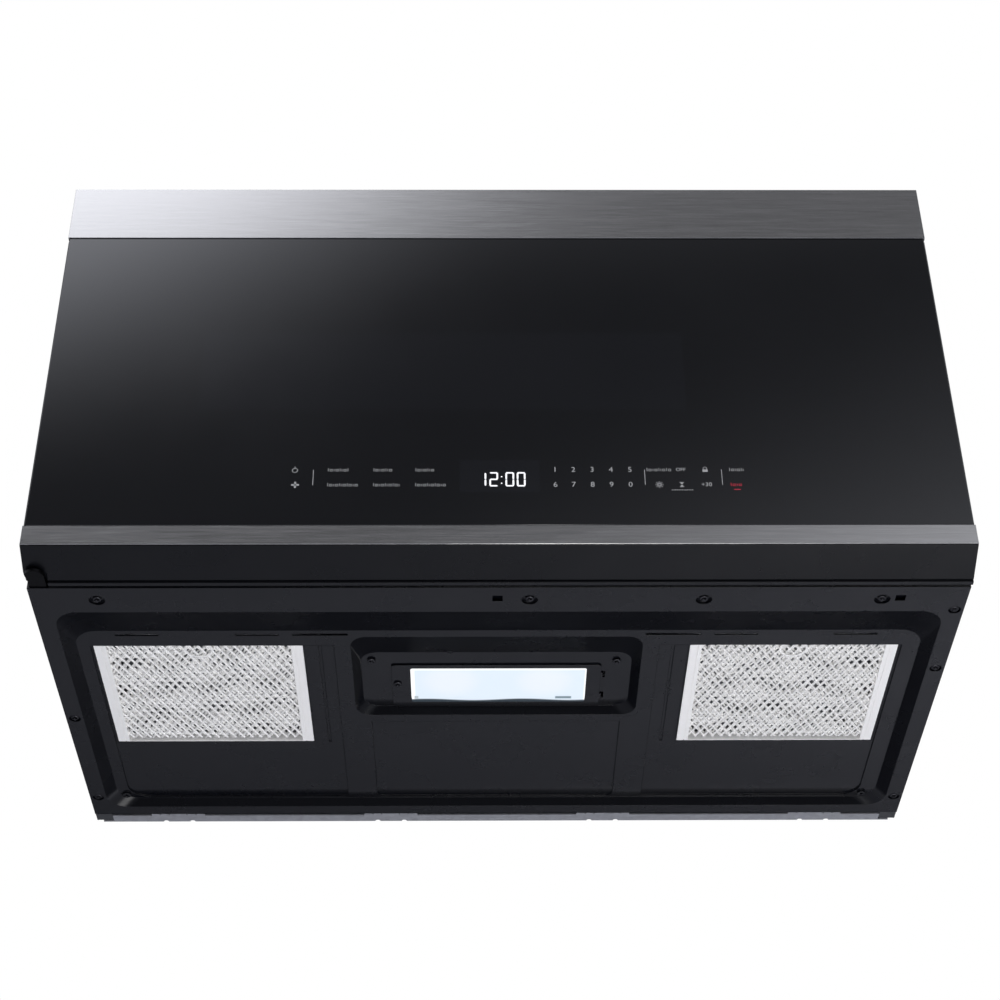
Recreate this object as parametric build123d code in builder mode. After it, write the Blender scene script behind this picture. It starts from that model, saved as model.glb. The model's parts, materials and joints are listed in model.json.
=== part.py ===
"""Over the range microwave oven, built as its separate pieces.

X runs to the right as seen from the kitchen, Y towards the wall, Z up.  The origin lies on the
plane that the oven stands on, under the middle of its outline.  All sizes are in millimetres.
"""

import os
from math import cos, degrees, radians, sin

from build123d import *

os.makedirs("parts", exist_ok=True)

# ---------------------------------------------------------------- overall sizes
width = 759.0  # fills a 30 inch gap between cabinets
height = 409.0
depth = 430.0
sheet = 1.2  # steel sheet of the casing
cavity_sheet = 1.0  # steel sheet of the oven cavity
seat = 0.3  # play between pieces that are set one in the other
run_fit = 0.05  # radial play of a pin or shaft that turns in its bore

# ---------------------------------------------------------------- door
door_depth = 37.0
door_gap = 2.0  # between the door and the front frame
door_foot = 0.8  # door bottom above the standing plane
door_wall = 2.5  # front and rim wall of the moulded door frame
door_stile = 19.5  # solid hinge side of the door frame
door_sill = 20.0  # height at which the hollow of the door frame begins
glass_thick = 4.0
glass_inset = 1.5  # glass edge in from the side of the door
trim_thick = 1.2
trim_bottom = 15.4
trim_height = 18.4
trim_gap = 0.2
trim_chamfer = 0.3
glass_chamfer = 0.4
door_angle_step = 1.0  # drip groove across the sloped underside

window_side = 59.5  # window in from the side walls of the cavity
window_sill = 68.0  # window above the cavity floor
window_head = 73.0  # window below the cavity ceiling
panel_left = -196.0  # opening behind the touch keys and the clock
panel_width = 408.0
panel_bottom = 60.0
panel_height = 44.0
board_thick = 1.6
board_margin = 5.0
chip_places = (-120.0, 100.0, 160.0)
chip_width = 28.0
chip_height = 20.0
chip_thick = 5.0
display_width = 64.6
display_height = 32.7
display_centre_x = 0.0
display_centre_z = 83.0

inner_panel_depth = 15.0  # inner steel panel in front of the door's rear face
choke_thick = 2.0
choke_ring_inset = 21.0  # ring wall inside the cavity opening
screen_pitch = 25.0
screen_hole = 16.0
inner_glass_thick = 3.0

hinge_inset = 9.0  # hinge axis from the side of the door
hinge_setback = 12.0  # hinge axis in front of the door's rear face
hinge_pin_radius = 3.0
hinge_pin_length = 18.0
hinge_arm_thick = 3.0
hinge_arm_radius = 8.0
hinge_arm_length = 22.0  # part of the arm that lies on the chassis
hinge_notch_play = 1.6
hinge_swing_room = 4.5  # notch in front of the arm, for an open door
door_edge_radius = 8.0

# ---------------------------------------------------------------- latch
latch_inset = 79.5  # latch bar in from the side of the door
latch_bar_width = 6.0
latch_bar_thick = 6.0
latch_end = 20.0  # bar past its lowest and highest hook
latch_travel = 4.0
hook_low = 58.0  # lower hook above the cavity floor
hook_high = 42.0  # upper hook below the cavity ceiling
hook_reach = 36.0  # hook length behind the bar
hook_barb = 5.0
latch_guide_low = 20.0  # lower guide above the lower hook
latch_guide_high = 40.0  # upper guide below the upper hook
latch_guide_height = 20.0
spring_length = 30.0
spring_outer_radius = 4.0
spring_wire = 1.2

# ---------------------------------------------------------------- chassis
case_inset = 1.0  # case side in from the side of the door
bend_radius = 1.8  # outer radius of a folded edge
wall_offset = 15.0  # rear panel in front of the wall
grille_height = 60.2
grille_depth = 75.0
grille_gap = 1.3  # between the door and the grille
louvre_pitch = 22.0
louvre_slot = 14.0
louvre_length = 46.0
louvre_count = 31
louvre_lean = 20.0  # degrees that the louvres lean towards the right
louvre_setback = 6.0  # louvres behind the front wall of the grille
grille_wall = 2.4
grille_drop = 0.4  # head of the moulded grille below the top
charcoal_width = 301.4
charcoal_thick = 10.0
charcoal_setback = 22.0  # front of the charcoal filter before the rear of the grille
charcoal_cells = 18
charcoal_pitch = 15.0
charcoal_cell = 10.0
charcoal_rim = 7.0
ledge_width = 6.0
swage_depth = 0.4  # pressed panels of the sides and the rear
side_swage_height = 70.0
side_swage_margin = 62.4  # in from the front and the rear of a side
side_swages = (120.0, 270.0)  # their heights
rear_swage_width = 180.0
rear_swage_spacing = 250.0
rear_swage_margin = 64.0

air_way = 55.3  # between the cavity and the left side of the casing
side_way = 39.3  # between the bay wall and the right side of the casing
bay_width = 112.0  # room for the works, right of the cavity
rear_way = 33.6  # behind the cavity
cavity_floor = 72.0
cavity_corner = 10.0
inner_base_level = 44.0
air_hole_radius = 3.2
air_hole_pitch = 11.0
air_hole_rows = 2
air_hole_drop = 32.0  # middle of the air holes below the cavity ceiling
air_hole_left_y = 40.0
lamp_y = -60.0  # cavity lamp and the air holes before it

# ---------------------------------------------------------------- underside
recess_side_margin = 16.0
recess_front_margin = 34.5  # rim in front of the recess
recess_rear_margin = 14.0
recess_depth = 8.0
recess_slope = 39.5  # run of the shallow front slope
recess_side_slope = 9.5
recess_rear_slope = 3.0
recess_corner = 20.0
works_x = -2.0  # middle of the filters and of the lamp
filter_margin = 24.5  # filter in from the side of the recess
filter_setback = 62.5  # filter behind the front of the recess
filter_width = 176.0
filter_length = 160.0
filter_thick = 8.0
filter_rail = 10.0
filter_fold = 0.8  # wall at the front and the rear of the filter
filter_end = 4.5  # rear edge of the mesh in from the rear of the filter
fold_inset = 3.4  # fold line out from the rail's inner edge
fold_width = 0.6
pull_radius = 12.0  # flat pull loop at the filter's front edge
pull_reach = 20.0
pull_width = 1.6
pull_thick = 0.8
filter_collar = 8.0
filter_lift = 1.2  # filter above the floor of the recess
mesh_thick = 1.6
mesh_pitch = 15.4
mesh_hole = 8.6
lamp_recess_width = 246.0
lamp_setback = 49.5  # lamp recess behind the front of the recess
lamp_recess_length = 126.0
lamp_recess_depth = 8.0
lamp_recess_slope = 36.0
lamp_recess_side = 7.0
lamp_recess_rear = 3.0
lamp_recess_corner = 14.0
pocket_depth = 1.5
pocket_corner = 20.0  # outer rear corner of the pocket round a filter
pocket_inner_corner = 6.0
pocket_margin = 2.0  # pockets in front of the recess's rear slope
centre_pocket_width = 220.0
centre_pocket_gap = 11.0  # behind the lamp recess
side_pocket_out = 2.5  # pocket past the filter, towards the side
side_pocket_in = 26.0  # pocket past the filter, towards the lamp
boss_gap = 5.0  # boss in each rear corner of the recess, out from the side of the filter
boss_setback = 8.0
boss_radius = 4.0
boss_drop = 2.0
boss_hole = 1.6
groove_gap = 14.0  # pressed line beside a filter, on the lamp's side
groove_width = 2.4
groove_depth = 1.0
dimple_depth = 2.5
dimple_radius = 6.5
side_dimple_radius = 5.0
screw_radius = 1.9
screw_head_radius = 3.6
screw_head = 2.0
screw_length = 10.0
screw_play = 0.2
square_hole = 8.0
lamp_screws = ((-109.0, 48.0), (101.0, 49.0))  # x, and y behind the front of the lamp recess
slit_width = 3.0
slit_setback = 5.0  # behind the foot of the front slope
slits = ((49.0, 36.0), (-51.0, 36.0), (-103.5, 46.0))  # out from the filter's middle, and length
front_screw_margin = 17.5
side_screw_inset = 7.5

# ---------------------------------------------------------------- cooktop lamp
cover_width = 181.0
cover_setback = 55.0  # cover behind the front of the lamp recess
cover_length = 67.5
cover_corner = 3.0
cover_screw_inset = 5.0
cover_screw_setback = 29.0
cover_thick = 1.2
cover_gap = 0.2
lens_width = 155.0
lens_setback = 3.5  # lens behind the front of the cover
lens_length = 57.0
lens_thick = 3.0
lens_lip = 1.5
lens_corner = 2.0
lamp_window_play = 3.5
hinge_tab_width = 8.0
hinge_tab_spacing = 34.0
hinge_tab_height = 4.6
housing_gap = 0.4
housing_play = 4.5
ear_reach = 5.0

# ---------------------------------------------------------------- turntable
tray_play = 13.0  # tray edge to the rear wall of the cavity
tray_thick = 4.5
tray_rim = 11.0
roller_radius = 8.0
roller_width = 6.0
roller_axle = 2.0
ring_radius = 98.0
ring_band = 8.0
ring_thick = 4.0
roller_count = 3
coupler_radius = 24.0
coupler_stem = 3.6
motor_radius = 25.0
motor_height = 18.0
motor_ear_reach = 34.0
motor_ear_width = 18.0
motor_ear_thick = 2.0
coupler_neck = 10.0
coupler_arm = 9.0
coupler_arm_height = 6.0
tray_slope = 14.0  # run of the tray's sloped edge
tray_edge = 3.0
collar_width = 2.2
collar_wall = 1.2

# ---------------------------------------------------------------- blower
blower_setback = 68.8  # blower axis in front of the rear panel
blower_drop = 42.8  # blower axis below the top
saddle_gap = 1.9  # between the scroll and the cavity
wheel_radius = 33.0
wheel_length = 66.0
wheel_blades = 16
blade_thick = 1.2
blade_chord = 8.0
blade_sweep = 13.0  # degrees from the inner to the outer edge of a blade
blade_lead = 3.0  # degrees from the inner edge to the middle of a blade
wheel_gap = 7.0  # between the wheel and the motor
blower_motor_radius = 30.0
blower_motor_length = 58.0
blower_shaft = 4.0
scroll_play = 5.5
scroll_wall = 1.6
scroll_outlet = 60.0

# ---------------------------------------------------------------- component bay
magnetron_setback = 138.8  # in front of the rear panel
magnetron_drop = 47.0  # below the cavity ceiling
magnetron_width = 80.0
magnetron_height = 76.0
waveguide_width = 32.0
waveguide_length = 92.0
waveguide_drop = 95.0  # foot of the waveguide below the magnetron's axis
waveguide_height = 136.0
fin_count = 6
yoke_wall = 2.0
anode_radius = 18.0
antenna_radius = 7.5
antenna_length = 16.0
core_height = 74.0
core_length = 80.0
winding_length = 108.0
winding_height = 44.0
capacitor_width = 56.0
capacitor_thick = 34.0
capacitor_height = 82.0
capacitor_setback = 110.0  # in front of the magnetron
terminal_radius = 2.5
terminal_height = 8.0
board_length = 130.0
board_height = 140.0
board_drop = 172.0  # foot of the power board below the cavity ceiling
relay_places = (25.0, 55.0, 85.0)
choke_coil_radius = 12.0
fan_setback = 59.8  # in front of the rear panel
fan_drop = 84.0  # below the cavity ceiling
fan_case = 52.0
fan_radius = 44.0
fan_blades = 5
fan_depth = 16.0
fan_shaft = 2.5
fan_hub = 10.0
fan_root = (13.0, 42.0)  # width and pitch in degrees of a blade at the hub
fan_tip = (33.0, 24.0)  # the same at its outer end
fan_blade_thick = 1.6

# ---------------------------------------------------------------- interfaces
wall_screw_spacing = 406.4  # 16 inch stud spacing
wall_screw_rise = 254.0
wall_screw_radius = 3.5
wall_screw_drop = 130.0  # middle of the four screws below the head of the wall plate
plate_drop = 49.0  # head of the wall plate below the top
plate_inset = 5.0
plate_slot_width = 60.0
plate_slot_height = 100.0
plate_slot_level = 120.0
plate_slot_pitch = 96.0
plate_slot_count = 6
lip_hook_height = 6.0
lip_slot_width = 1.6
lip_inset = 9.8  # lip in from the side of the wall plate
lip_setback = 3.2  # lower lip of the wall plate behind the tips of its tabs
lip_tab_count = 4
lip_tab_spacing = 200.4
lip_tab_width = 50.0
lip_notch_spacing = 25.0
lip_notch_radius = 2.4
cabinet_bolt_spacing = 660.4
cabinet_bolt_y = -60.0
cabinet_bolt_radius = 3.2
cabinet_nut_radius = 6.5
cabinet_nut_height = 7.0
cord_bore_radius = 5.0
cord_inset = 79.5  # in from the side
cord_setback = 48.8  # in front of the rear panel
duct_width = 254.0  # 3 1/4 x 10 inch duct
duct_length = 82.5
duct_setback = 102.8  # in front of the rear panel

# ---------------------------------------------------------------- places that follow
side = width / 2
front = -depth / 2
back = depth / 2
door_rear = front + door_depth
chassis_front = door_rear + door_gap
case_side = side - case_inset
case_inner = case_side - sheet
rear = back - wall_offset  # rear face of the rear panel
rear_inner = rear - sheet
top_inner = height - sheet
grille_bottom = height - grille_height
grille_rear = front + grille_depth
grille_top = height - grille_drop
charcoal_y = (grille_rear - charcoal_setback, grille_rear - charcoal_setback + charcoal_thick)
door_top = grille_bottom - grille_gap
glass_bottom = trim_bottom + trim_height + trim_gap
frame_rear = chassis_front + sheet  # rear face of the front frame
frame_top = door_top - hinge_arm_thick - seat
blower_y = rear_inner - blower_setback
blower_z = top_inner - blower_drop
scroll_radius = wheel_radius + scroll_play
bay_wall_x = case_inner - side_way
cavity_left = air_way - case_inner
cavity_right = bay_wall_x - bay_width
cavity_top = blower_z - scroll_radius - scroll_wall - saddle_gap - cavity_sheet
cavity_rear = rear_inner - rear_way
cavity_depth = cavity_rear - frame_rear
turntable_x = (cavity_left + cavity_right) / 2
turntable_y = (frame_rear + cavity_rear) / 2
tray_radius = cavity_depth / 2 - tray_play
window_left = cavity_left + window_side
window_width = cavity_right - window_side - window_left
window_bottom = cavity_floor + window_sill
window_height = cavity_top - window_head - window_bottom
latch_x = side - latch_inset
hook_heights = (cavity_floor + hook_low, cavity_top - hook_high)
latch_bottom = hook_heights[0] - latch_end
latch_length = hook_heights[1] + latch_end - latch_bottom
latch_guide_heights = (hook_heights[0] + latch_guide_low, hook_heights[1] - latch_guide_high)
glass_rear = front + glass_thick
frame_front = front + trim_thick
hollow_left = -side + door_stile
hollow_right = side - door_wall
hollow_top = door_top - door_wall
hollow_front = glass_rear + door_wall
inner_panel_front = door_rear - inner_panel_depth - sheet
hinge_x = -side + hinge_inset
hinge_y = door_rear - hinge_setback
hinge_low = sheet  # underside of the lower hinge arm
hinge_high = door_top - seat  # upper side of the upper hinge arm
recess_front = chassis_front + recess_front_margin
recess_rear = rear - recess_rear_margin
recess_half_width = side - recess_side_margin
filter_front = recess_front + filter_setback
filter_rear = filter_front + filter_length
filter_spacing = 2 * (recess_half_width - filter_margin) - filter_width
lamp_recess_front = recess_front + lamp_setback
cover_front = lamp_recess_front + cover_setback
lens_front = cover_front + lens_setback
front_screws = (54.5 - side, 24.0, 165.0, side - 70.0)
square_holes = (works_x, side - 55.5)
right_screws = (chassis_front + 33.0, chassis_front + 122.0, rear - 30.0)
left_screws = (26.0, rear - 32.0)
lamp_level = recess_depth + lamp_recess_depth
cover_top = lamp_level - cover_gap
cover_bottom = cover_top - cover_thick
cover_left = works_x - cover_width / 2
cover_right = works_x + cover_width / 2
cover_hinge_x = cover_right + 1.0
tray_level = cavity_floor + seat + 2 * roller_radius + seat
bay_left = cavity_right + cavity_sheet
magnetron_y = rear_inner - magnetron_setback
magnetron_z = cavity_top - magnetron_drop
waveguide_bottom = magnetron_z - waveguide_drop
fan_x = (bay_left + bay_wall_x) / 2
fan_y = rear_inner - fan_setback
fan_z = cavity_top - fan_drop
plate_top = height - plate_drop
plate_half = case_inner - plate_inset
lip_half = plate_half - lip_inset
wall_screw_centre_z = plate_top - wall_screw_drop
cord_x = side - cord_inset
cord_y = rear_inner - cord_setback
duct_y = rear_inner - duct_setback


def slab(x, y, z, mode=Mode.ADD):
    """A block between two corners, each axis given as its low and high side."""
    with Locations(((x[0] + x[1]) / 2, (y[0] + y[1]) / 2, (z[0] + z[1]) / 2)):
        Box(x[1] - x[0], y[1] - y[0], z[1] - z[0], mode=mode)


def post(x, y, z, radius, mode=Mode.ADD):
    """An upright cylinder from the low to the high side of z."""
    with Locations((x, y, (z[0] + z[1]) / 2)):
        Cylinder(radius, z[1] - z[0], mode=mode)


def lying_x(x, y, z, radius, mode=Mode.ADD):
    """A cylinder along X from the low to the high side of x."""
    with Locations(Plane(((x[0] + x[1]) / 2, y, z), z_dir=(1, 0, 0))):
        Cylinder(radius, x[1] - x[0], mode=mode)


def lying_y(x, y, z, radius, mode=Mode.ADD):
    """A cylinder along Y from the low to the high side of y."""
    with Locations(Plane((x, (y[0] + y[1]) / 2, z), z_dir=(0, 1, 0))):
        Cylinder(radius, y[1] - y[0], mode=mode)


def save(piece, label):
    """Names a finished piece and writes its file."""
    piece.part.label = label
    export_step(piece.part, f"parts/{label}.step")


# ================================================================ casing
# Outer case: a top and two sides folded from one sheet, with a notch for the grille.
with BuildPart() as case_wrap:
    with BuildSketch(Plane.YZ.offset(-case_side)):
        with BuildLine():
            Polyline(
                (chassis_front, sheet),
                (back - sheet, sheet),
                (back - sheet, height),
                (grille_rear, height),
                (grille_rear, grille_bottom),
                (chassis_front, grille_bottom),
                close=True,
            )
        make_face()
    extrude(amount=2 * case_side)
    folds = case_wrap.part.edges().filter_by(Axis.Y).group_by(Axis.Z)[-1]
    fillet(folds, radius=bend_radius)
    slab((-case_inner, case_inner), (front, back), (0, top_inner), Mode.SUBTRACT)
    # folded lower flanges, which the underside is screwed to
    for hand in (-1, 1):
        inner, outer = sorted((hand * (recess_half_width + 1), hand * case_inner))
        flange = (dimple_depth + sheet, dimple_depth + 2 * sheet)
        slab((inner, outer), (frame_rear + hinge_arm_length + 2.0, rear_inner), flange)
        # rear corner, past the end of the wall plate's lip
        inner, outer = sorted((hand * (lip_half + seat), hand * case_inner))
        slab((inner, outer), (rear + seat, back - sheet - seat), (sheet, 2 * sheet))
    for hand, rows in ((1, right_screws), (-1, left_screws)):
        for y in rows:
            x = hand * (case_side - side_screw_inset)
            post(x, y, (0, screw_length), screw_radius + screw_play, Mode.SUBTRACT)
    # outlet for a duct, blanked off while the air goes back to the room
    slab(
        (-duct_width / 2, duct_width / 2),
        (duct_y - duct_length / 2, duct_y + duct_length / 2),
        (top_inner, height),
        Mode.SUBTRACT,
    )
    # nuts for the two bolts that come down through the cabinet
    for hand in (-1, 1):
        x = hand * cabinet_bolt_spacing / 2
        nut = (top_inner - cabinet_nut_height, top_inner)
        post(x, cabinet_bolt_y, nut, cabinet_nut_radius)
        bore = (top_inner - cabinet_nut_height, height)
        post(x, cabinet_bolt_y, bore, cabinet_bolt_radius, Mode.SUBTRACT)
    post(cord_x, cord_y, (top_inner, height), cord_bore_radius + 3.0, Mode.SUBTRACT)
    # swages pressed into the sides, which keep them from drumming
    swage_middle = (frame_rear + rear) / 2
    swage_length = rear - frame_rear - 2 * side_swage_margin
    for hand in (-1, 1):
        for z in side_swages:
            with Locations((hand * case_side, swage_middle, z)):
                Box(2 * swage_depth, swage_length, side_swage_height, mode=Mode.SUBTRACT)
save(case_wrap, "case_wrap")

# Underside: one deep drawn sheet with a shallow recess, a second recess for the lamp,
# two filter openings with collars, pockets between them and dimples for the screws.
with BuildPart() as base_plate:
    slab((-case_side, case_side), (chassis_front, rear), (0, sheet))
    recess_middle = (recess_front + recess_rear) / 2
    floor_front = recess_front + recess_slope
    floor_rear = recess_rear - recess_rear_slope
    floor_half = recess_half_width - recess_side_slope
    for grow, lift, how in ((sheet, sheet, Mode.ADD), (0.0, 0.0, Mode.SUBTRACT)):
        with BuildSketch(Plane.XY):
            with Locations((0, recess_middle)):
                RectangleRounded(
                    2 * (recess_half_width + grow),
                    recess_rear - recess_front + 2 * grow,
                    recess_corner + grow,
                )
        with BuildSketch(Plane.XY.offset(recess_depth + lift)):
            with Locations((0, (floor_front + floor_rear) / 2)):
                RectangleRounded(
                    2 * (floor_half + grow),
                    floor_rear - floor_front + 2 * grow,
                    recess_corner + grow,
                )
        loft(ruled=True, mode=how)
    lamp_rear = lamp_recess_front + lamp_recess_length
    lamp_floor_front = lamp_recess_front + lamp_recess_slope
    lamp_floor_rear = lamp_rear - lamp_recess_rear
    for grow, lift, how in ((sheet, sheet, Mode.ADD), (0.0, 0.0, Mode.SUBTRACT)):
        with BuildSketch(Plane.XY.offset(recess_depth)):
            with Locations((works_x, (lamp_recess_front + lamp_rear) / 2)):
                RectangleRounded(
                    lamp_recess_width + 2 * grow,
                    lamp_recess_length + 2 * grow,
                    lamp_recess_corner + grow,
                )
        with BuildSketch(Plane.XY.offset(lamp_level + lift)):
            with Locations((works_x, (lamp_floor_front + lamp_floor_rear) / 2)):
                RectangleRounded(
                    lamp_recess_width - 2 * lamp_recess_side + 2 * grow,
                    lamp_floor_rear - lamp_floor_front + 2 * grow,
                    lamp_recess_corner + grow,
                )
        loft(ruled=True, mode=how)
    # shallow pocket behind the lamp, and one round each filter with a large outer corner
    pocket_rear = floor_rear - pocket_margin
    half_pocket = centre_pocket_width / 2
    filter_near = filter_spacing / 2 - filter_width / 2
    filter_far = filter_spacing / 2 + filter_width / 2
    side_pocket = (filter_near - side_pocket_in, filter_far + side_pocket_out)
    pockets = (
        (works_x - half_pocket, works_x + half_pocket, lamp_rear + centre_pocket_gap, 0),
        (works_x - side_pocket[1], works_x - side_pocket[0], filter_front, -1),
        (works_x + side_pocket[0], works_x + side_pocket[1], filter_front, 1),
    )
    for left, right, near, hand in pockets:
        for grow, low, how in (
            (sheet, recess_depth + sheet, Mode.ADD),
            (0.0, recess_depth, Mode.SUBTRACT),
        ):
            with BuildSketch(Plane.XY.offset(low)):
                with Locations(((left + right) / 2, (near + pocket_rear) / 2)):
                    Rectangle(right - left + 2 * grow, pocket_rear - near + 2 * grow)
                rear_corners = vertices().group_by(Axis.Y)[-1].sort_by(Axis.X)
                if hand:
                    outer_corner = rear_corners[0] if hand < 0 else rear_corners[-1]
                    inner_corner = rear_corners[-1] if hand < 0 else rear_corners[0]
                    fillet(outer_corner, radius=pocket_corner + grow)
                    fillet(inner_corner, radius=pocket_inner_corner + grow)
                else:
                    fillet(rear_corners, radius=pocket_inner_corner + grow)
            extrude(amount=pocket_depth, mode=how)
    # pressed line beside each filter
    pocket_level = recess_depth + pocket_depth
    for hand in (-1, 1):
        x = works_x + hand * (filter_near - groove_gap)
        for grow, lift, how in ((sheet, sheet, Mode.ADD), (0.0, 0.0, Mode.SUBTRACT)):
            half = groove_width / 2 + grow
            groove_y = (filter_front + 2.0 - grow, filter_rear + 2.0 + grow)
            groove_z = (pocket_level + lift, pocket_level + lift + groove_depth)
            slab((x - half, x + half), groove_y, groove_z, how)
    # boss with a hole in each rear corner of the recess
    for hand in (-1, 1):
        boss = (works_x + hand * (filter_far + boss_gap), floor_rear - boss_setback)
        post(*boss, (recess_depth - boss_drop, recess_depth + sheet), boss_radius)
        post(*boss, (recess_depth - boss_drop, recess_depth + sheet), boss_hole, Mode.SUBTRACT)
    # filter openings, each with a turned up collar
    for hand in (-1, 1):
        x = works_x + hand * filter_spacing / 2
        opening = (x - filter_width / 2, x + filter_width / 2)
        collar_top = recess_depth + sheet + filter_collar
        slab(
            (opening[0] - sheet, opening[1] + sheet),
            (filter_front - sheet, filter_rear + sheet),
            (recess_depth + sheet, collar_top),
        )
        slab(opening, (filter_front, filter_rear), (0, collar_top), Mode.SUBTRACT)
    # window in the lamp recess, with slots for the two tabs of the lamp cover
    slab(
        (-lens_width / 2 - lamp_window_play, lens_width / 2 + lamp_window_play),
        (lens_front - 2.0, lens_front + lens_length + 2.0),
        (lamp_level, lamp_level + sheet),
        Mode.SUBTRACT,
    )
    for hand in (-1, 1):
        y = cover_front + cover_length / 2 + hand * hinge_tab_spacing / 2
        slab(
            (cover_hinge_x - 7.0, cover_hinge_x + 2.5),
            (y - hinge_tab_width / 2 - 1.0, y + hinge_tab_width / 2 + 1.0),
            (lamp_level, lamp_level + sheet),
            Mode.SUBTRACT,
        )
    cover_screw = (cover_left + cover_screw_inset, cover_front + cover_screw_setback)
    post(*cover_screw, (lamp_level, lamp_level + sheet), screw_radius + 0.8, Mode.SUBTRACT)
    # dimples and holes of the rim screws
    rim_screws = [(x, chassis_front + front_screw_margin, dimple_radius) for x in front_screws]
    for y in right_screws:
        rim_screws.append((case_side - side_screw_inset, y, side_dimple_radius))
    for y in left_screws:
        rim_screws.append((side_screw_inset - case_side, y, side_dimple_radius))
    for x, y, radius in rim_screws:
        post(x, y, (0, dimple_depth + sheet), radius + 1.0)
    for x, y, radius in rim_screws:
        post(x, y, (0, dimple_depth), radius, Mode.SUBTRACT)
        post(x, y, (0, screw_length), screw_radius + screw_play, Mode.SUBTRACT)
    for x in square_holes:
        half = square_hole / 2
        y = chassis_front + front_screw_margin - 2.0
        slab((x - half, x + half), (y - half, y + half), (0, sheet), Mode.SUBTRACT)
    # screws that hold the lamp housing from below
    for x, setback in lamp_screws:
        y = lamp_recess_front + setback
        post(x, y, (lamp_level, lamp_level + sheet), screw_radius + screw_play, Mode.SUBTRACT)
    # drain slits in front of the filters
    slit_near = floor_front + slit_setback
    for hand in (-1, 1):
        for out, length in slits:
            x = works_x + hand * (filter_spacing / 2 + out)
            slab(
                (x - length / 2, x + length / 2),
                (slit_near, slit_near + slit_width),
                (recess_depth - 1.0, recess_depth + sheet + 1.0),
                Mode.SUBTRACT,
            )
save(base_plate, "base_plate")

with BuildPart() as base_screws:
    for x, y, _ in rim_screws:
        post(x, y, (dimple_depth - screw_head, dimple_depth), screw_head_radius)
        post(x, y, (dimple_depth, screw_length), screw_radius)
    for x, setback in lamp_screws:
        y = lamp_recess_front + setback
        post(x, y, (lamp_level - screw_head, lamp_level), screw_head_radius)
        post(x, y, (lamp_level, lamp_level + screw_length), screw_radius)
save(base_screws, "base_screws")

# Rear panel, set in front of the wall plate by the wall offset.
with BuildPart() as rear_panel:
    slab((-case_inner, case_inner), (rear_inner, rear), (sheet, top_inner))
    swage_height = height - 2 * rear_swage_margin
    with Locations((0, rear, height / 2)):
        with GridLocations(rear_swage_spacing, 1.0, 3, 1):
            Box(rear_swage_width, 2 * swage_depth, swage_height, mode=Mode.SUBTRACT)
save(rear_panel, "rear_panel")

# Wall plate: a galvanised tray that is screwed to the studs and hooks under the oven.
with BuildPart() as wall_mounting_plate:
    slab((-plate_half, plate_half), (back - sheet, back), (0, plate_top))
    lip_front = rear + seat + lip_setback
    slab((-lip_half, lip_half), (lip_front, back), (0, sheet))
    slab((-plate_half, plate_half), (rear + seat, back), (plate_top - sheet, plate_top))
    with Locations((0, back - sheet / 2, plate_slot_level)):
        with GridLocations(plate_slot_pitch, 1.0, plate_slot_count, 1):
            Box(plate_slot_width, 4 * sheet, plate_slot_height, mode=Mode.SUBTRACT)
    for x in (-wall_screw_spacing / 2, wall_screw_spacing / 2):
        for z in (-wall_screw_rise / 2, wall_screw_rise / 2):
            y = (back - sheet, back)
            lying_y(x, y, wall_screw_centre_z + z, wall_screw_radius, Mode.SUBTRACT)
    # tabs along the lower lip, each with an upright hook, a notched edge and two gauge notches
    tabs = GridLocations(lip_tab_spacing, 1.0, lip_tab_count, 1)
    for tab in tabs:
        x = tab.position.X
        tab_x = (x - lip_tab_width / 2, x + lip_tab_width / 2)
        slab(tab_x, (rear + seat, lip_front), (0, sheet))
        slab(tab_x, (rear + seat, rear + seat + sheet), (sheet, lip_hook_height))
        for step in (-2, -1, 1, 2):
            notch = x + step * lip_tab_width / 6
            notch_x = (notch - lip_slot_width / 2, notch + lip_slot_width / 2)
            slab(notch_x, (rear, rear + seat + sheet), (0, lip_hook_height), Mode.SUBTRACT)
        for hand in (-1, 1):
            notch = x + hand * lip_notch_spacing / 2
            post(notch, back, (0, sheet), lip_notch_radius, Mode.SUBTRACT)
save(wall_mounting_plate, "wall_mounting_plate")

# Inner base: carries the works and leaves an air way up each side.
with BuildPart() as inner_base_plate:
    slab(
        (-case_inner, case_inner),
        (frame_rear, rear_inner),
        (inner_base_level, inner_base_level + sheet),
    )
    left_way = (-case_inner + 6.0, cavity_left - 8.0)
    right_way = (bay_wall_x + 5.0, case_inner - 6.0)
    way_y = (-60.0, rear_inner - 48.8)
    for way in (left_way, right_way):
        slab(way, way_y, (inner_base_level, inner_base_level + sheet), Mode.SUBTRACT)
save(inner_base_plate, "inner_base_plate")

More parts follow.
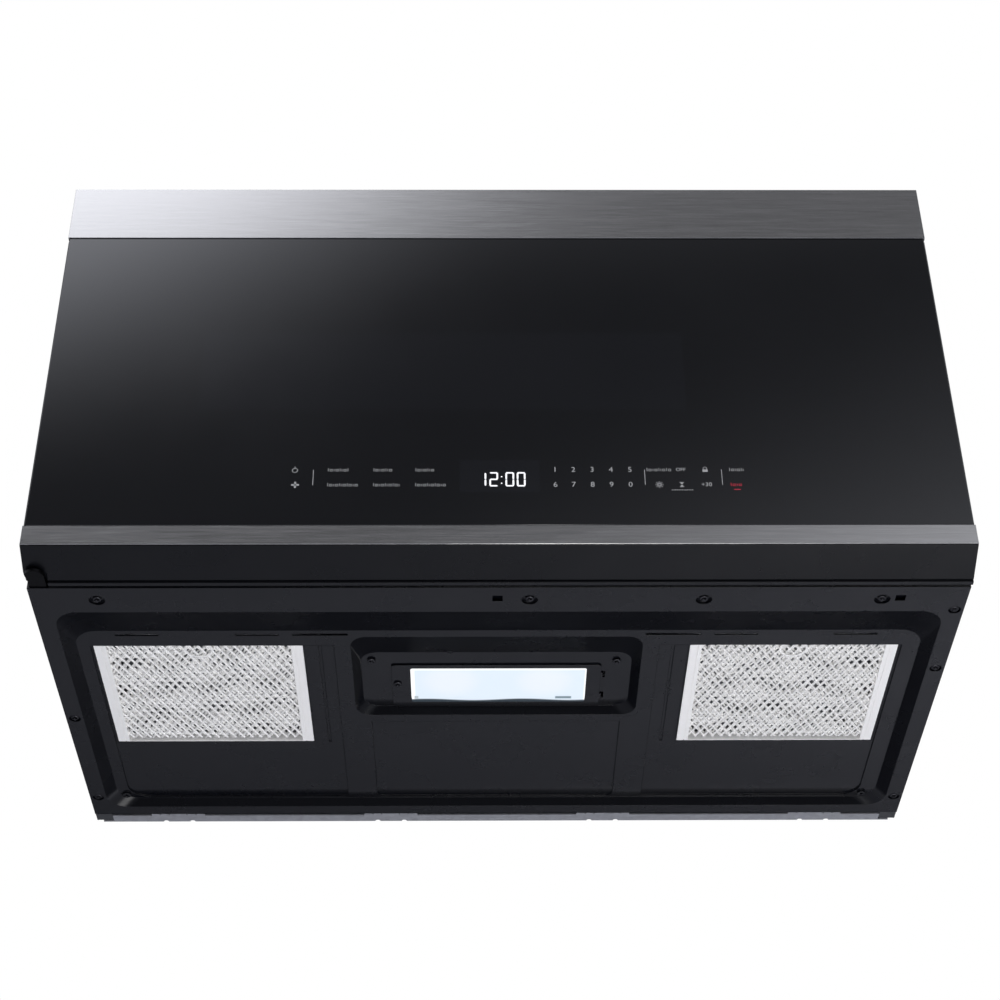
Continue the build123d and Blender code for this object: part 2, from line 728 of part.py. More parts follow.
# Front frame: the plate that the door closes on.
with BuildPart() as front_frame:
    slab((-case_inner, case_inner), (chassis_front, frame_rear), (sheet, frame_top))
    slab(
        (-case_inner, case_inner),
        (frame_rear, grille_rear - 10.0),
        (frame_top - sheet, frame_top),
    )
    slab(
        (-recess_half_width, recess_half_width),
        (frame_rear, chassis_front + recess_front_margin - 4.0),
        (dimple_depth + sheet, dimple_depth + 2 * sheet),
    )
    slab(
        (cavity_left, cavity_right),
        (chassis_front, frame_rear),
        (cavity_floor, cavity_top),
        Mode.SUBTRACT,
    )
    for x in front_screws:
        y = chassis_front + front_screw_margin
        post(x, y, (0, screw_length), screw_radius + screw_play, Mode.SUBTRACT)
    for z in hook_heights:
        slab(
            (latch_x - latch_bar_width / 2 - 4.0, latch_x + latch_bar_width / 2 + 7.0),
            (chassis_front, frame_rear),
            (z - hook_barb - 8.0, z + latch_travel + 8.0),
            Mode.SUBTRACT,
        )
    # room for the lower hinge arm
    arm_end = hinge_x + hinge_arm_radius + hinge_notch_play
    slab(
        (-case_inner, arm_end),
        (chassis_front, frame_rear + hinge_arm_length),
        (0, hinge_low + hinge_arm_thick + seat),
        Mode.SUBTRACT,
    )
save(front_frame, "front_frame")

# ================================================================ oven cavity
with BuildPart() as oven_cavity:
    cavity_middle = (cavity_left + cavity_right) / 2
    for grow, span, how in (
        (cavity_sheet, (cavity_floor - cavity_sheet, cavity_top + cavity_sheet), Mode.ADD),
        (0.0, (cavity_floor, cavity_top), Mode.SUBTRACT),
    ):
        with BuildSketch(Plane.XY.offset(span[0])):
            with BuildLine():
                left = cavity_left - grow
                right = cavity_right + grow
                far = cavity_rear + grow
                FilletPolyline(
                    (left, frame_rear),
                    (left, far),
                    (right, far),
                    (right, frame_rear),
                    radius=cavity_corner + grow,
                )
                Line((right, frame_rear), (left, frame_rear))
            make_face()
        extrude(amount=span[1] - span[0], mode=how)
    # hole for the turntable stem and mouth of the waveguide
    floor_span = (cavity_floor - cavity_sheet, cavity_floor)
    post(turntable_x, turntable_y, floor_span, 12.0, Mode.SUBTRACT)
    slab(
        (cavity_right, cavity_right + cavity_sheet),
        (magnetron_y - 36.0, magnetron_y + 36.0),
        (waveguide_bottom + 8.0, waveguide_bottom + 58.0),
        Mode.SUBTRACT,
    )
    # air holes, in a square pattern, high on the left side and by the lamp on the right side
    air_hole_z = cavity_top - air_hole_drop
    for x, y, along in ((cavity_left, air_hole_left_y, 5), (cavity_right, lamp_y, 3)):
        with Locations(Plane((x, y, air_hole_z), z_dir=(1, 0, 0))):
            with GridLocations(air_hole_pitch, air_hole_pitch, air_hole_rows, along):
                Cylinder(air_hole_radius, 6.0, mode=Mode.SUBTRACT)
save(oven_cavity, "oven_cavity")

# ================================================================ grille
with BuildPart() as grille_trim:
    slab((-side, side), (front, frame_front), (grille_bottom, height))
    chamfer(grille_trim.part.faces().sort_by(Axis.Y)[0].edges(), length=trim_chamfer)
save(grille_trim, "grille_trim")

with BuildPart() as vent_grille:
    slab((-side, side), (frame_front, grille_rear), (grille_bottom, grille_top))
    slab(
        (-side + grille_wall, side - grille_wall),
        (frame_front + grille_wall, grille_rear),
        (grille_bottom + grille_wall, grille_top - grille_wall),
        Mode.SUBTRACT,
    )
    louvre_y = frame_front + grille_wall + louvre_setback + louvre_length / 2
    with Locations((0, louvre_y, height)):
        with GridLocations(louvre_pitch, 1.0, louvre_count, 1):
            Box(louvre_slot, louvre_length, 12.0, rotation=(0, louvre_lean, 0), mode=Mode.SUBTRACT)
    # ledges that hold the charcoal filter upright
    for hand in (-1, 1):
        ledge = charcoal_width / 2 + seat
        near, far = sorted((hand * ledge, hand * (ledge + ledge_width)))
        slab(
            (near, far),
            (charcoal_y[0] - 2.0, charcoal_y[1] + 4.0),
            (grille_bottom + grille_wall, grille_top - grille_wall),
        )
save(vent_grille, "vent_grille")

with BuildPart() as charcoal_filter:
    filter_low = grille_bottom + grille_wall + seat
    filter_high = grille_top - grille_wall - seat
    slab((-charcoal_width / 2, charcoal_width / 2), charcoal_y, (filter_low, filter_high))
    cell_height = filter_high - filter_low - 2 * charcoal_rim
    with Locations((0, sum(charcoal_y) / 2, (filter_low + filter_high) / 2)):
        with GridLocations(charcoal_pitch, 1.0, charcoal_cells, 1):
            Box(charcoal_cell, 3 * charcoal_thick, cell_height, mode=Mode.SUBTRACT)
save(charcoal_filter, "charcoal_filter")

# ================================================================ door
# Moulded frame: sloped underside, solid hinge side, hollow towards the oven.
with BuildPart() as door_frame:
    slope_rear = door_rear - 5.0
    slope_top = trim_bottom - 0.5
    slope = (slope_top - door_foot) / (door_rear - frame_front)
    with BuildSketch(Plane.YZ.offset(-side)):
        with BuildLine():
            Polyline(
                (frame_front, slope_top),
                (slope_rear, slope_top - slope * (slope_rear - frame_front)),
                (slope_rear, slope_top - slope * (slope_rear - frame_front) + door_angle_step),
                (slope_rear + 1.0, slope_top - slope * (slope_rear - frame_front) + 1.0),
                (slope_rear + 1.0, door_foot),
                (door_rear, door_foot),
                (door_rear, door_top),
                (glass_rear, door_top),
                (glass_rear, glass_bottom - trim_gap),
                (frame_front, glass_bottom - trim_gap),
                close=True,
            )
        make_face()
    extrude(amount=width)
    hinge_edge = (
        door_frame.part.edges()
        .filter_by(Axis.Z)
        .group_by(Axis.X)[0]
        .sort_by(Axis.Y)[-1]
    )
    fillet(hinge_edge, radius=door_edge_radius)
    hollow_y = (hollow_front, door_rear)
    slab((hollow_left, hollow_right), hollow_y, (door_sill, hollow_top), Mode.SUBTRACT)
    slab(
        (window_left, window_left + window_width),
        (glass_rear, hollow_front),
        (window_bottom, window_bottom + window_height),
        Mode.SUBTRACT,
    )
    slab(
        (panel_left, panel_left + panel_width),
        (glass_rear, hollow_front),
        (panel_bottom, panel_bottom + panel_height),
        Mode.SUBTRACT,
    )
    # notches for the hinge arms, and the bores that turn on their pins
    notch_x = (-side, hinge_x + hinge_arm_radius + hinge_notch_play)
    notch_y = (hinge_y - hinge_arm_radius - hinge_swing_room, door_rear)
    notch_low = hinge_low + hinge_arm_thick + hinge_notch_play
    notch_high = hinge_high - hinge_arm_thick - hinge_notch_play
    slab(notch_x, notch_y, (0, notch_low), Mode.SUBTRACT)
    slab(notch_x, notch_y, (notch_high, door_top), Mode.SUBTRACT)
    bore = hinge_pin_radius + run_fit
    low_bore = (notch_low, hinge_low + hinge_arm_thick + hinge_pin_length + 1.0)
    high_bore = (hinge_high - hinge_arm_thick - hinge_pin_length - 1.0, notch_high)
    post(hinge_x, hinge_y, low_bore, bore, Mode.SUBTRACT)
    post(hinge_x, hinge_y, high_bore, bore, Mode.SUBTRACT)
save(door_frame, "door_frame")

with BuildPart() as door_glass:
    slab((-side + glass_inset, side - glass_inset), (front, glass_rear), (glass_bottom, door_top))
    chamfer(door_glass.part.faces().sort_by(Axis.Y)[0].edges(), length=glass_chamfer)
save(door_glass, "door_glass")

with BuildPart() as door_lower_trim:
    slab((-side, side), (front, frame_front), (trim_bottom, trim_bottom + trim_height))
    chamfer(door_lower_trim.part.faces().sort_by(Axis.Y)[0].edges(), length=trim_chamfer)
save(door_lower_trim, "door_lower_trim")

# Touch board and clock behind the glass.
with BuildPart() as touch_board:
    slab(
        (panel_left - board_margin, panel_left + panel_width + board_margin),
        (hollow_front, hollow_front + board_thick),
        (panel_bottom - board_margin, panel_bottom + panel_height + board_margin),
    )
    panel_middle = panel_bottom + panel_height / 2
    chip_z = (panel_middle - chip_height / 2, panel_middle + chip_height / 2)
    for x in chip_places:
        chip_x = (x - chip_width / 2, x + chip_width / 2)
        slab(chip_x, (hollow_front, hollow_front + chip_thick), chip_z)
save(touch_board, "touch_board")

with BuildPart() as display_module:
    slab(
        (display_centre_x - display_width / 2, display_centre_x + display_width / 2),
        (glass_rear, hollow_front),
        (display_centre_z - display_height / 2, display_centre_z + display_height / 2),
    )
save(display_module, "display_module")

# Inner steel panel with the perforated screen and the wall of the choke trough.
with BuildPart() as door_screen:
    slab(
        (hollow_left + seat, hollow_right - seat),
        (inner_panel_front, inner_panel_front + sheet),
        (door_sill + seat, hollow_top - seat),
    )
    ring_x = (cavity_left + choke_ring_inset, cavity_right - choke_ring_inset)
    ring_z = (cavity_floor + choke_ring_inset, cavity_top - choke_ring_inset)
    ring_rear = door_rear - choke_thick
    slab(ring_x, (inner_panel_front, ring_rear), ring_z)
    slab(
        (ring_x[0] + sheet, ring_x[1] - sheet),
        (inner_panel_front + sheet, ring_rear),
        (ring_z[0] + sheet, ring_z[1] - sheet),
        Mode.SUBTRACT,
    )
    columns = int(window_width // screen_pitch)
    rows = int(window_height // screen_pitch)
    screen_centre = (window_left + window_width / 2, window_bottom + window_height / 2)
    with Locations((screen_centre[0], inner_panel_front, screen_centre[1])):
        with Locations(Rotation(90, 0, 0)):
            with GridLocations(screen_pitch, screen_pitch, columns, rows):
                Box(screen_hole, screen_hole, 4 * sheet, mode=Mode.SUBTRACT)
save(door_screen, "door_screen")

with BuildPart() as door_inner_glass:
    slab(
        (ring_x[0] + sheet + seat, ring_x[1] - sheet - seat),
        (ring_rear - inner_glass_thick, ring_rear),
        (ring_z[0] + sheet + seat, ring_z[1] - sheet - seat),
    )
save(door_inner_glass, "door_inner_glass")

# Choke cover: closes the rear of the door and guides the latch bar.
bar_rear = inner_panel_front + sheet + 2.8 + latch_bar_thick
with BuildPart() as door_choke_cover:
    slab(
        (hollow_left + seat, hollow_right - seat),
        (ring_rear, door_rear),
        (door_sill + seat, hollow_top - seat),
    )
    slab(
        (ring_x[0] + 3.0, ring_x[1] - 3.0),
        (ring_rear, door_rear),
        (ring_z[0] + 3.0, ring_z[1] - 3.0),
        Mode.SUBTRACT,
    )
    guide_y = (bar_rear - latch_bar_thick - 1.0, ring_rear)
    half_bar = latch_bar_width / 2
    for z in latch_guide_heights:
        for hand in (-1, 1):
            near, far = sorted((hand * (half_bar + seat), hand * (half_bar + 7.0)))
            slab((latch_x + near, latch_x + far), guide_y, (z, z + latch_guide_height))
        slab(
            (latch_x - half_bar - seat, latch_x + half_bar + seat),
            (bar_rear + seat, ring_rear),
            (z, z + latch_guide_height),
        )
    latch_top = latch_bottom + latch_length
    slab((latch_x - 6.0, latch_x + 6.0), guide_y, (latch_bottom - seat - 5.0, latch_bottom - seat))
    spring_seat = latch_top + seat + spring_length
    slab((latch_x - 6.0, latch_x + 6.0), guide_y, (spring_seat + seat, spring_seat + 4.0))
    for z in hook_heights:
        slab(
            (latch_x - half_bar - 2.0, latch_x + half_bar + 2.0),
            (ring_rear, door_rear),
            (z - hook_barb - 5.0, z + latch_travel + 6.0),
            Mode.SUBTRACT,
        )
save(door_choke_cover, "door_choke_cover")

# Latch bar with its two hooks, pressed down by a small spring.
with BuildPart() as latch_bar:
    slab(
        (latch_x - half_bar, latch_x + half_bar),
        (bar_rear - latch_bar_thick, bar_rear),
        (latch_bottom, latch_top),
    )
    for z in hook_heights:
        with BuildSketch(Plane.YZ.offset(latch_x - half_bar + 0.5)):
            with BuildLine():
                Polyline(
                    (bar_rear - 1.0, z - 3.0),
                    (bar_rear + hook_reach - 7.0, z - 3.0),
                    (bar_rear + hook_reach - 7.0, z - 3.0 - hook_barb),
                    (bar_rear + hook_reach - 4.0, z - 3.0 - hook_barb),
                    (bar_rear + hook_reach, z),
                    (bar_rear + hook_reach, z + 3.0),
                    (bar_rear - 1.0, z + 3.0),
                    close=True,
                )
            make_face()
        extrude(amount=latch_bar_width - 1.0)
save(latch_bar, "latch_bar")

with BuildPart() as latch_spring:
    coil_radius = spring_outer_radius - spring_wire / 2
    coil_y = bar_rear - latch_bar_thick / 2
    coil_span = (latch_top + seat, spring_seat)
    post(latch_x, coil_y, coil_span, spring_outer_radius)
    post(latch_x, coil_y, coil_span, coil_radius - spring_wire / 2, Mode.SUBTRACT)
save(latch_spring, "latch_spring")

# Catch bracket and door switches behind the front frame.
bracket_x = latch_x + half_bar + 12.0
with BuildPart() as latch_bracket:
    bracket_span = (hook_heights[0] - 30.0, hook_heights[1] + 25.0)
    slab((bracket_x, bracket_x + 3.0), (frame_rear, frame_rear + 46.0), bracket_span)
    bracket_foot = (latch_x - 18.0, bracket_x)
    for low in (bracket_span[0], bracket_span[1] - 12.0):
        slab(bracket_foot, (frame_rear, frame_rear + 3.0), (low, low + 12.0))
    for z in hook_heights:
        catch_top = z - 3.0 - hook_barb - 0.5
        catch_y = (frame_rear + 2.0, frame_rear + 14.0)
        slab((latch_x - 6.0, bracket_x), catch_y, (catch_top - 4.0, catch_top))
save(latch_bracket, "latch_bracket")

hook_tip = bar_rear + hook_reach
with BuildPart() as door_switches:
    for z in (hook_heights[0], sum(hook_heights) / 2, hook_heights[1]):
        slab((bracket_x - 10.0, bracket_x), (hook_tip + 3.0, hook_tip + 19.0), (z - 14.0, z + 14.0))
    for z in hook_heights:
        slab((latch_x - 2.0, bracket_x - 10.0), (hook_tip + 3.0, hook_tip + 7.0), (z - 2.0, z + 2.0))
save(door_switches, "door_switches")

# Hinge arms with their pins, one at the foot and one at the head of the door.
for level, up, label in ((hinge_low, 1, "hinge_lower"), (hinge_high, -1, "hinge_upper")):
    with BuildPart() as hinge:
        low, high = sorted((level, level + up * hinge_arm_thick))
        slab(
            (hinge_x - hinge_arm_radius + 2.0, hinge_x + hinge_arm_radius),
            (hinge_y, frame_rear + hinge_arm_length - 2.0),
            (low, high),
        )
        post(hinge_x, hinge_y, (low, high), hinge_arm_radius)
        tip = level + up * (hinge_arm_thick + hinge_pin_length)
        post(hinge_x, hinge_y, sorted((level, tip)), hinge_pin_radius)
        split(bisect_by=Plane((-case_inner, 0, 0), z_dir=(1, 0, 0)), keep=Keep.TOP)
    save(hinge, label)

# ================================================================ underside fittings
# Grease filters: a folded aluminium frame with a pull tab, round an expanded mesh.
for hand, name in ((-1, "left"), (1, "right")):
    filter_x = works_x + hand * filter_spacing / 2
    outer_x = (filter_x - filter_width / 2 + seat, filter_x + filter_width / 2 - seat)
    outer_y = (filter_front + seat, filter_rear - seat)
    filter_z = (recess_depth + filter_lift, recess_depth + filter_lift + filter_thick)
    with BuildPart() as filter_frame:
        slab(outer_x, outer_y, filter_z)
        slab(
            (outer_x[0] + filter_rail, outer_x[1] - filter_rail),
            (outer_y[0] + filter_fold, outer_y[1] - filter_fold),
            filter_z,
            Mode.SUBTRACT,
        )
        # fold line along each rail
        for edge in (outer_x[0] + filter_rail - fold_inset, outer_x[1] - filter_rail + fold_inset):
            line = (edge - fold_width / 2, edge + fold_width / 2)
            slab(line, outer_y, (filter_z[0], filter_z[0] + fold_width), Mode.SUBTRACT)
        # flat pull loop that stands on the front edge
        with BuildSketch(Plane.XY.offset(filter_z[0])):
            with Locations((filter_x, outer_y[0] + pull_reach - pull_radius)):
                Circle(pull_radius)
                Circle(pull_radius - pull_width, mode=Mode.SUBTRACT)
            with Locations((filter_x, outer_y[0])):
                Rectangle(
                    2 * pull_radius,
                    pull_radius,
                    align=(Align.CENTER, Align.MAX),
                    mode=Mode.SUBTRACT,
                )
        extrude(amount=pull_thick)
    save(filter_frame, f"grease_filter_frame_{name}")
    with BuildPart() as filter_mesh:
        mesh_x = (outer_x[0] + filter_rail, outer_x[1] - filter_rail)
        mesh_y = (outer_y[0] + filter_fold, outer_y[1] - filter_end)
        with BuildSketch(Plane.XY.offset(filter_z[0] + 1.0)):
            with Locations(((mesh_x[0] + mesh_x[1]) / 2, (mesh_y[0] + mesh_y[1]) / 2)):
                Rectangle(mesh_x[1] - mesh_x[0], mesh_y[1] - mesh_y[0])
                across = int((mesh_x[1] - mesh_x[0] - mesh_pitch) // mesh_pitch)
                along = int((mesh_y[1] - mesh_y[0] - mesh_pitch) // mesh_pitch)
                with GridLocations(mesh_pitch, mesh_pitch, across, along):
                    Rectangle(mesh_hole, mesh_hole, rotation=45, mode=Mode.SUBTRACT)
        extrude(amount=mesh_thick)
    save(filter_mesh, f"grease_filter_mesh_{name}")

# Lamp cover: a plate with a window, hung on two tabs at its right and held by one screw.
with BuildPart() as lamp_cover:
    with BuildSketch(Plane.XY.offset(cover_bottom)):
        with Locations((works_x, cover_front + cover_length / 2)):
            RectangleRounded(cover_width, cover_length, cover_corner)
        with Locations((0, lens_front + lens_length / 2)):
            RectangleRounded(
                lens_width - 2 * lens_lip,
                lens_length - 2 * lens_lip,
                lens_corner,
                mode=Mode.SUBTRACT,
            )
    extrude(amount=cover_thick)
    for hand in (-1, 1):
        y = cover_front + cover_length / 2 + hand * hinge_tab_spacing / 2
        tab_y = (y - hinge_tab_width / 2, y + hinge_tab_width / 2)
        slab((cover_right - 1.0, cover_hinge_x + 0.6), tab_y, (cover_bottom, cover_top))
        hook_x = (cover_hinge_x - 0.6, cover_hinge_x + 0.6)
        slab(hook_x, tab_y, (cover_bottom, cover_top + hinge_tab_height))
    post(*cover_screw, (cover_bottom, cover_top), screw_radius + run_fit, Mode.SUBTRACT)
save(lamp_cover, "lamp_cover")

with BuildPart() as lamp_lens:
    slab(
        (-lens_width / 2, lens_width / 2),
        (lens_front, lens_front + lens_length),
        (cover_top, cover_top + lens_thick),
    )
    lens_proud = 0.4  # lens below the face of its cover
    with BuildSketch(Plane.XY.offset(cover_bottom - lens_proud)):
        with Locations((0, lens_front + lens_length / 2)):
            RectangleRounded(
                lens_width - 2 * lens_lip - 2 * seat,
                lens_length - 2 * lens_lip - 2 * seat,
                lens_corner - seat,
            )
    extrude(amount=cover_thick + lens_proud)
save(lamp_lens, "lamp_lens")

with BuildPart() as lamp_cover_screw:
    post(*cover_screw, (cover_bottom - 1.6, cover_bottom), screw_head_radius)
    post(*cover_screw, (cover_bottom, cover_bottom + 7.0), screw_radius)
save(lamp_cover_screw, "lamp_cover_screw")

housing_top = inner_base_level - housing_gap
housing_y = (lens_front - housing_play, lens_front + lens_length + housing_play)
housing_x = (-lens_width / 2 - lamp_window_play - 4.0, lens_width / 2 + lamp_window_play - 0.5)
with BuildPart() as lamp_housing:
    slab(housing_x, housing_y, (lamp_level + sheet, housing_top))
    slab(
        (housing_x[0] + sheet, housing_x[1] - sheet),
        (housing_y[0] + sheet, housing_y[1] - sheet),
        (lamp_level + sheet, housing_top - sheet),
        Mode.SUBTRACT,
    )
    # ears that the two screws of the lamp recess pass into
    for x, setback in lamp_screws:
        y = lamp_recess_front + setback
        wall = housing_x[0] if x < 0 else housing_x[1]
        ear_x = sorted((wall, x + ear_reach if x > 0 else x - ear_reach))
        slab(ear_x, (y - ear_reach, y + ear_reach + 4.0), (lamp_level + sheet, lamp_level + 2 * sheet))
        hole = (lamp_level + sheet, lamp_level + 2 * sheet)
        post(x, y, hole, screw_radius + screw_play, Mode.SUBTRACT)
save(lamp_housing, "lamp_housing")

with BuildPart() as lamp_board:
    board_top = housing_top - sheet
    slab(
        (housing_x[0] + 4.0, housing_x[1] - 4.0),
        (housing_y[0] + 4.0, housing_y[1] - 4.0),
        (board_top - board_thick, board_top),
    )
    for x in (-38.0, 38.0):
        diode = (board_top - board_thick - 3.0, board_top - board_thick)
        post(x, lens_front + lens_length / 2, diode, 5.0)
save(lamp_board, "lamp_board")

# ================================================================ turntable
with BuildPart() as turntable_motor:
    motor_top = cavity_floor - cavity_sheet
    post(turntable_x, turntable_y, (motor_top - motor_height, motor_top), motor_radius)
    slab(
        (turntable_x - motor_ear_reach, turntable_x + motor_ear_reach),
        (turntable_y - motor_ear_width / 2, turntable_y + motor_ear_width / 2),
        (motor_top - motor_ear_thick, motor_top),
    )
    stem_span = (motor_top - 12.0, motor_top)
    post(turntable_x, turntable_y, stem_span, coupler_stem + run_fit, Mode.SUBTRACT)
save(turntable_motor, "turntable_motor")

with BuildPart() as turntable_coupler:
    post(turntable_x, turntable_y, (motor_top - 11.0, cavity_floor + 3.0), coupler_stem)
    post(turntable_x, turntable_y, (cavity_floor + 3.0, tray_level), coupler_neck)
    with Locations((turntable_x, turntable_y, tray_level - coupler_arm_height / 2)):
        with PolarLocations(coupler_radius / 2, 3):
            Box(coupler_radius, coupler_arm, coupler_arm_height)
save(turntable_coupler, "turntable_coupler")

with BuildPart() as glass_tray:
    with BuildSketch(Plane.XZ.offset(-turntable_y)):
        with BuildLine():
            rim = turntable_x + tray_radius
            Polyline(
                (turntable_x, tray_level),
                (rim - tray_slope, tray_level),
                (rim, tray_level + tray_rim),
                (rim - tray_edge, tray_level + tray_rim + 2.0),
                (rim - tray_edge - tray_slope, tray_level + tray_thick),
                (turntable_x, tray_level + tray_thick),
                close=True,
            )
        make_face()
    revolve(axis=Axis((turntable_x, turntable_y, 0), (0, 0, 1)))
save(glass_tray, "glass_tray")

roller_z = cavity_floor + seat + roller_radius
with BuildPart() as roller_ring:
    ring_span = (roller_z - ring_thick / 2, roller_z + ring_thick / 2)
    ring_outer = ring_radius - 4.0
    post(turntable_x, turntable_y, ring_span, ring_outer)
    post(turntable_x, turntable_y, ring_span, ring_outer - ring_band, Mode.SUBTRACT)
    for turn in range(roller_count):
        angle = radians(90 + 360 / roller_count * turn)
        outward = Vector(cos(angle), sin(angle), 0)
        middle = Vector(turntable_x, turntable_y, roller_z) + outward * (ring_radius + 0.5)
        with Locations(Plane(middle, z_dir=outward)):
            Cylinder(roller_axle, 11.0)
        # collar that keeps the roller on its axle
        with Locations(Plane(middle + outward * (5.5 + collar_width / 2), z_dir=outward)):
            Cylinder(roller_axle + collar_wall, collar_width)
save(roller_ring, "roller_ring")

for turn in range(roller_count):
    angle = radians(90 + 360 / roller_count * turn)
    outward = Vector(cos(angle), sin(angle), 0)
    middle = Vector(turntable_x, turntable_y, roller_z) + outward * (ring_radius + 1.0)
    with BuildPart() as roller:
        with Locations(Plane(middle, z_dir=outward)):
            Cylinder(roller_radius, roller_width)
            Cylinder(roller_axle + run_fit, roller_width, mode=Mode.SUBTRACT)
    save(roller, f"tray_roller_{turn + 1}")

# ================================================================ blower
wheel_centres = {
    "left": -(blower_motor_length / 2 + wheel_gap + wheel_length / 2),
    "right": blower_motor_length / 2 + wheel_gap + wheel_length / 2,
}
with BuildPart() as blower_housing:
    for x in wheel_centres.values():
        outer_x = (x - wheel_length / 2 - 4.0, x + wheel_length / 2 + 4.0)
        inner_x = (outer_x[0] + scroll_wall, outer_x[1] - scroll_wall)
        outlet_z = (blower_z, blower_z + scroll_radius)
        lying_x(outer_x, blower_y, blower_z, scroll_radius + scroll_wall)
        outlet_y = (blower_y - scroll_outlet, blower_y)
        slab(outer_x, outlet_y, (outlet_z[0] - scroll_wall, outlet_z[1] + scroll_wall))
        lying_x(inner_x, blower_y, blower_z, scroll_radius, Mode.SUBTRACT)
        slab(inner_x, outlet_y, outlet_z, Mode.SUBTRACT)
        lying_x(outer_x, blower_y, blower_z, wheel_radius * 0.8, Mode.SUBTRACT)
    inner_end = wheel_centres["right"] - wheel_length / 2 - 4.0
    saddle_z = (cavity_top + cavity_sheet, blower_z - blower_motor_radius * 0.7)
    slab((-inner_end, inner_end), (blower_y - 24.0, blower_y + 24.0), saddle_z)
    lying_x((-inner_end, inner_end), blower_y, blower_z, blower_motor_radius + seat, Mode.SUBTRACT)
save(blower_housing, "blower_housing")

with BuildPart() as blower_motor:
    half_motor = blower_motor_length / 2 - 2.0
    lying_x((-half_motor, half_motor), blower_y, blower_z, blower_motor_radius)
    lying_x((-half_motor, half_motor), blower_y, blower_z, blower_shaft + run_fit, Mode.SUBTRACT)
save(blower_motor, "blower_motor")

with BuildPart() as blower_shaft_piece:
    shaft_end = wheel_centres["right"] + 6.0
    lying_x((-shaft_end, shaft_end), blower_y, blower_z, blower_shaft)
save(blower_shaft_piece, "blower_shaft")

# Section of one blade, whose inner edge lies on X and whose outer half is bent forward.
blade_rim = wheel_radius - 0.6
blade_foot = wheel_radius - blade_chord
blade_middle = (blade_foot + blade_rim) / 2
blade_turn = degrees(blade_thick / blade_middle)
blade_line = ((blade_foot, 0.0), (blade_middle, blade_lead), (blade_rim, blade_sweep))
blade_outline = list(blade_line)
for reach, turn in reversed(blade_line):
    blade_outline.append((reach, turn + blade_turn))
with BuildSketch() as blade_section:
    with BuildLine():
        outline = [(reach * cos(radians(t)), reach * sin(radians(t))) for reach, t in blade_outline]
        Polyline(*outline, close=True)
    make_face()

for name, x in wheel_centres.items():
    wheel_x = (x - wheel_length / 2, x + wheel_length / 2)
    with BuildPart() as blower_wheel:
        for end in (wheel_x[0], wheel_x[1] - 2.0):
            lying_x((end, end + 2.0), blower_y, blower_z, wheel_radius)
            lying_x((end, end + 2.0), blower_y, blower_z, wheel_radius - blade_chord, Mode.SUBTRACT)
        wheel_face = (wheel_x[0] + 1.0, blower_y, blower_z)
        with BuildSketch(Plane(wheel_face, x_dir=(0, 1, 0), z_dir=(1, 0, 0))):
            for turn in range(wheel_blades):
                add(blade_section.sketch, rotation=360 / wheel_blades * turn)
        extrude(amount=wheel_length - 2.0)
        lying_x((x - 1.2, x + 1.2), blower_y, blower_z, wheel_radius)
        lying_x((x - 7.0, x + 7.0), blower_y, blower_z, blower_shaft + 4.0)
        lying_x((x - 7.0, x + 7.0), blower_y, blower_z, blower_shaft + run_fit, Mode.SUBTRACT)
    save(blower_wheel, f"blower_wheel_{name}")

with BuildPart() as duct_blank_plate:
    slab(
        (-duct_width / 2 - 9.0, duct_width / 2 + 9.0),
        (duct_y - duct_length / 2 - 8.0, duct_y + duct_length / 2 + 8.0),
        (top_inner - sheet, top_inner),
    )
    for x in (-duct_width / 2 + 20.0, duct_width / 2 - 20.0):
        grip_y = (duct_y - 6.0, duct_y + 6.0)
        slab((x - 10.0, x + 10.0), grip_y, (top_inner - sheet, top_inner), Mode.SUBTRACT)
save(duct_blank_plate, "duct_blank_plate")

# ================================================================ component bay
with BuildPart() as bay_wall:
    bay_top = cavity_top + 8.0
    bay_y = (frame_rear, rear_inner)
    slab((bay_wall_x, bay_wall_x + sheet), bay_y, (inner_base_level + sheet, bay_top))
    slab((bay_wall_x - 12.0, bay_wall_x), bay_y, (bay_top - sheet, bay_top))
    inlet_y = (fan_y - 39.0, fan_y + 31.0)
    slab((bay_wall_x, bay_wall_x + sheet), inlet_y, (fan_z - 38.0, fan_z + 42.0), Mode.SUBTRACT)
save(bay_wall, "bay_wall")

with BuildPart() as waveguide:
    guide_x = (bay_left, bay_left + waveguide_width)
    guide_y = (magnetron_y - waveguide_length / 2, magnetron_y + waveguide_length / 2)
    guide_z = (waveguide_bottom, waveguide_bottom + waveguide_height)
    slab(guide_x, guide_y, guide_z)
    slab(
        (guide_x[0], guide_x[1] - cavity_sheet),
        (guide_y[0] + cavity_sheet, guide_y[1] - cavity_sheet),
        (guide_z[0] + cavity_sheet, guide_z[1] - cavity_sheet),
        Mode.SUBTRACT,
    )
    antenna_x = (guide_x[1] - cavity_sheet, guide_x[1])
    lying_x(antenna_x, magnetron_y, magnetron_z, 9.0, Mode.SUBTRACT)
save(waveguide, "waveguide")

with BuildPart() as waveguide_cover:
    slab(
        (cavity_right - 0.6, cavity_right),
        (magnetron_y - 42.0, magnetron_y + 42.0),
        (waveguide_bottom + 2.0, waveguide_bottom + 64.0),
    )
save(waveguide_cover, "waveguide_cover")

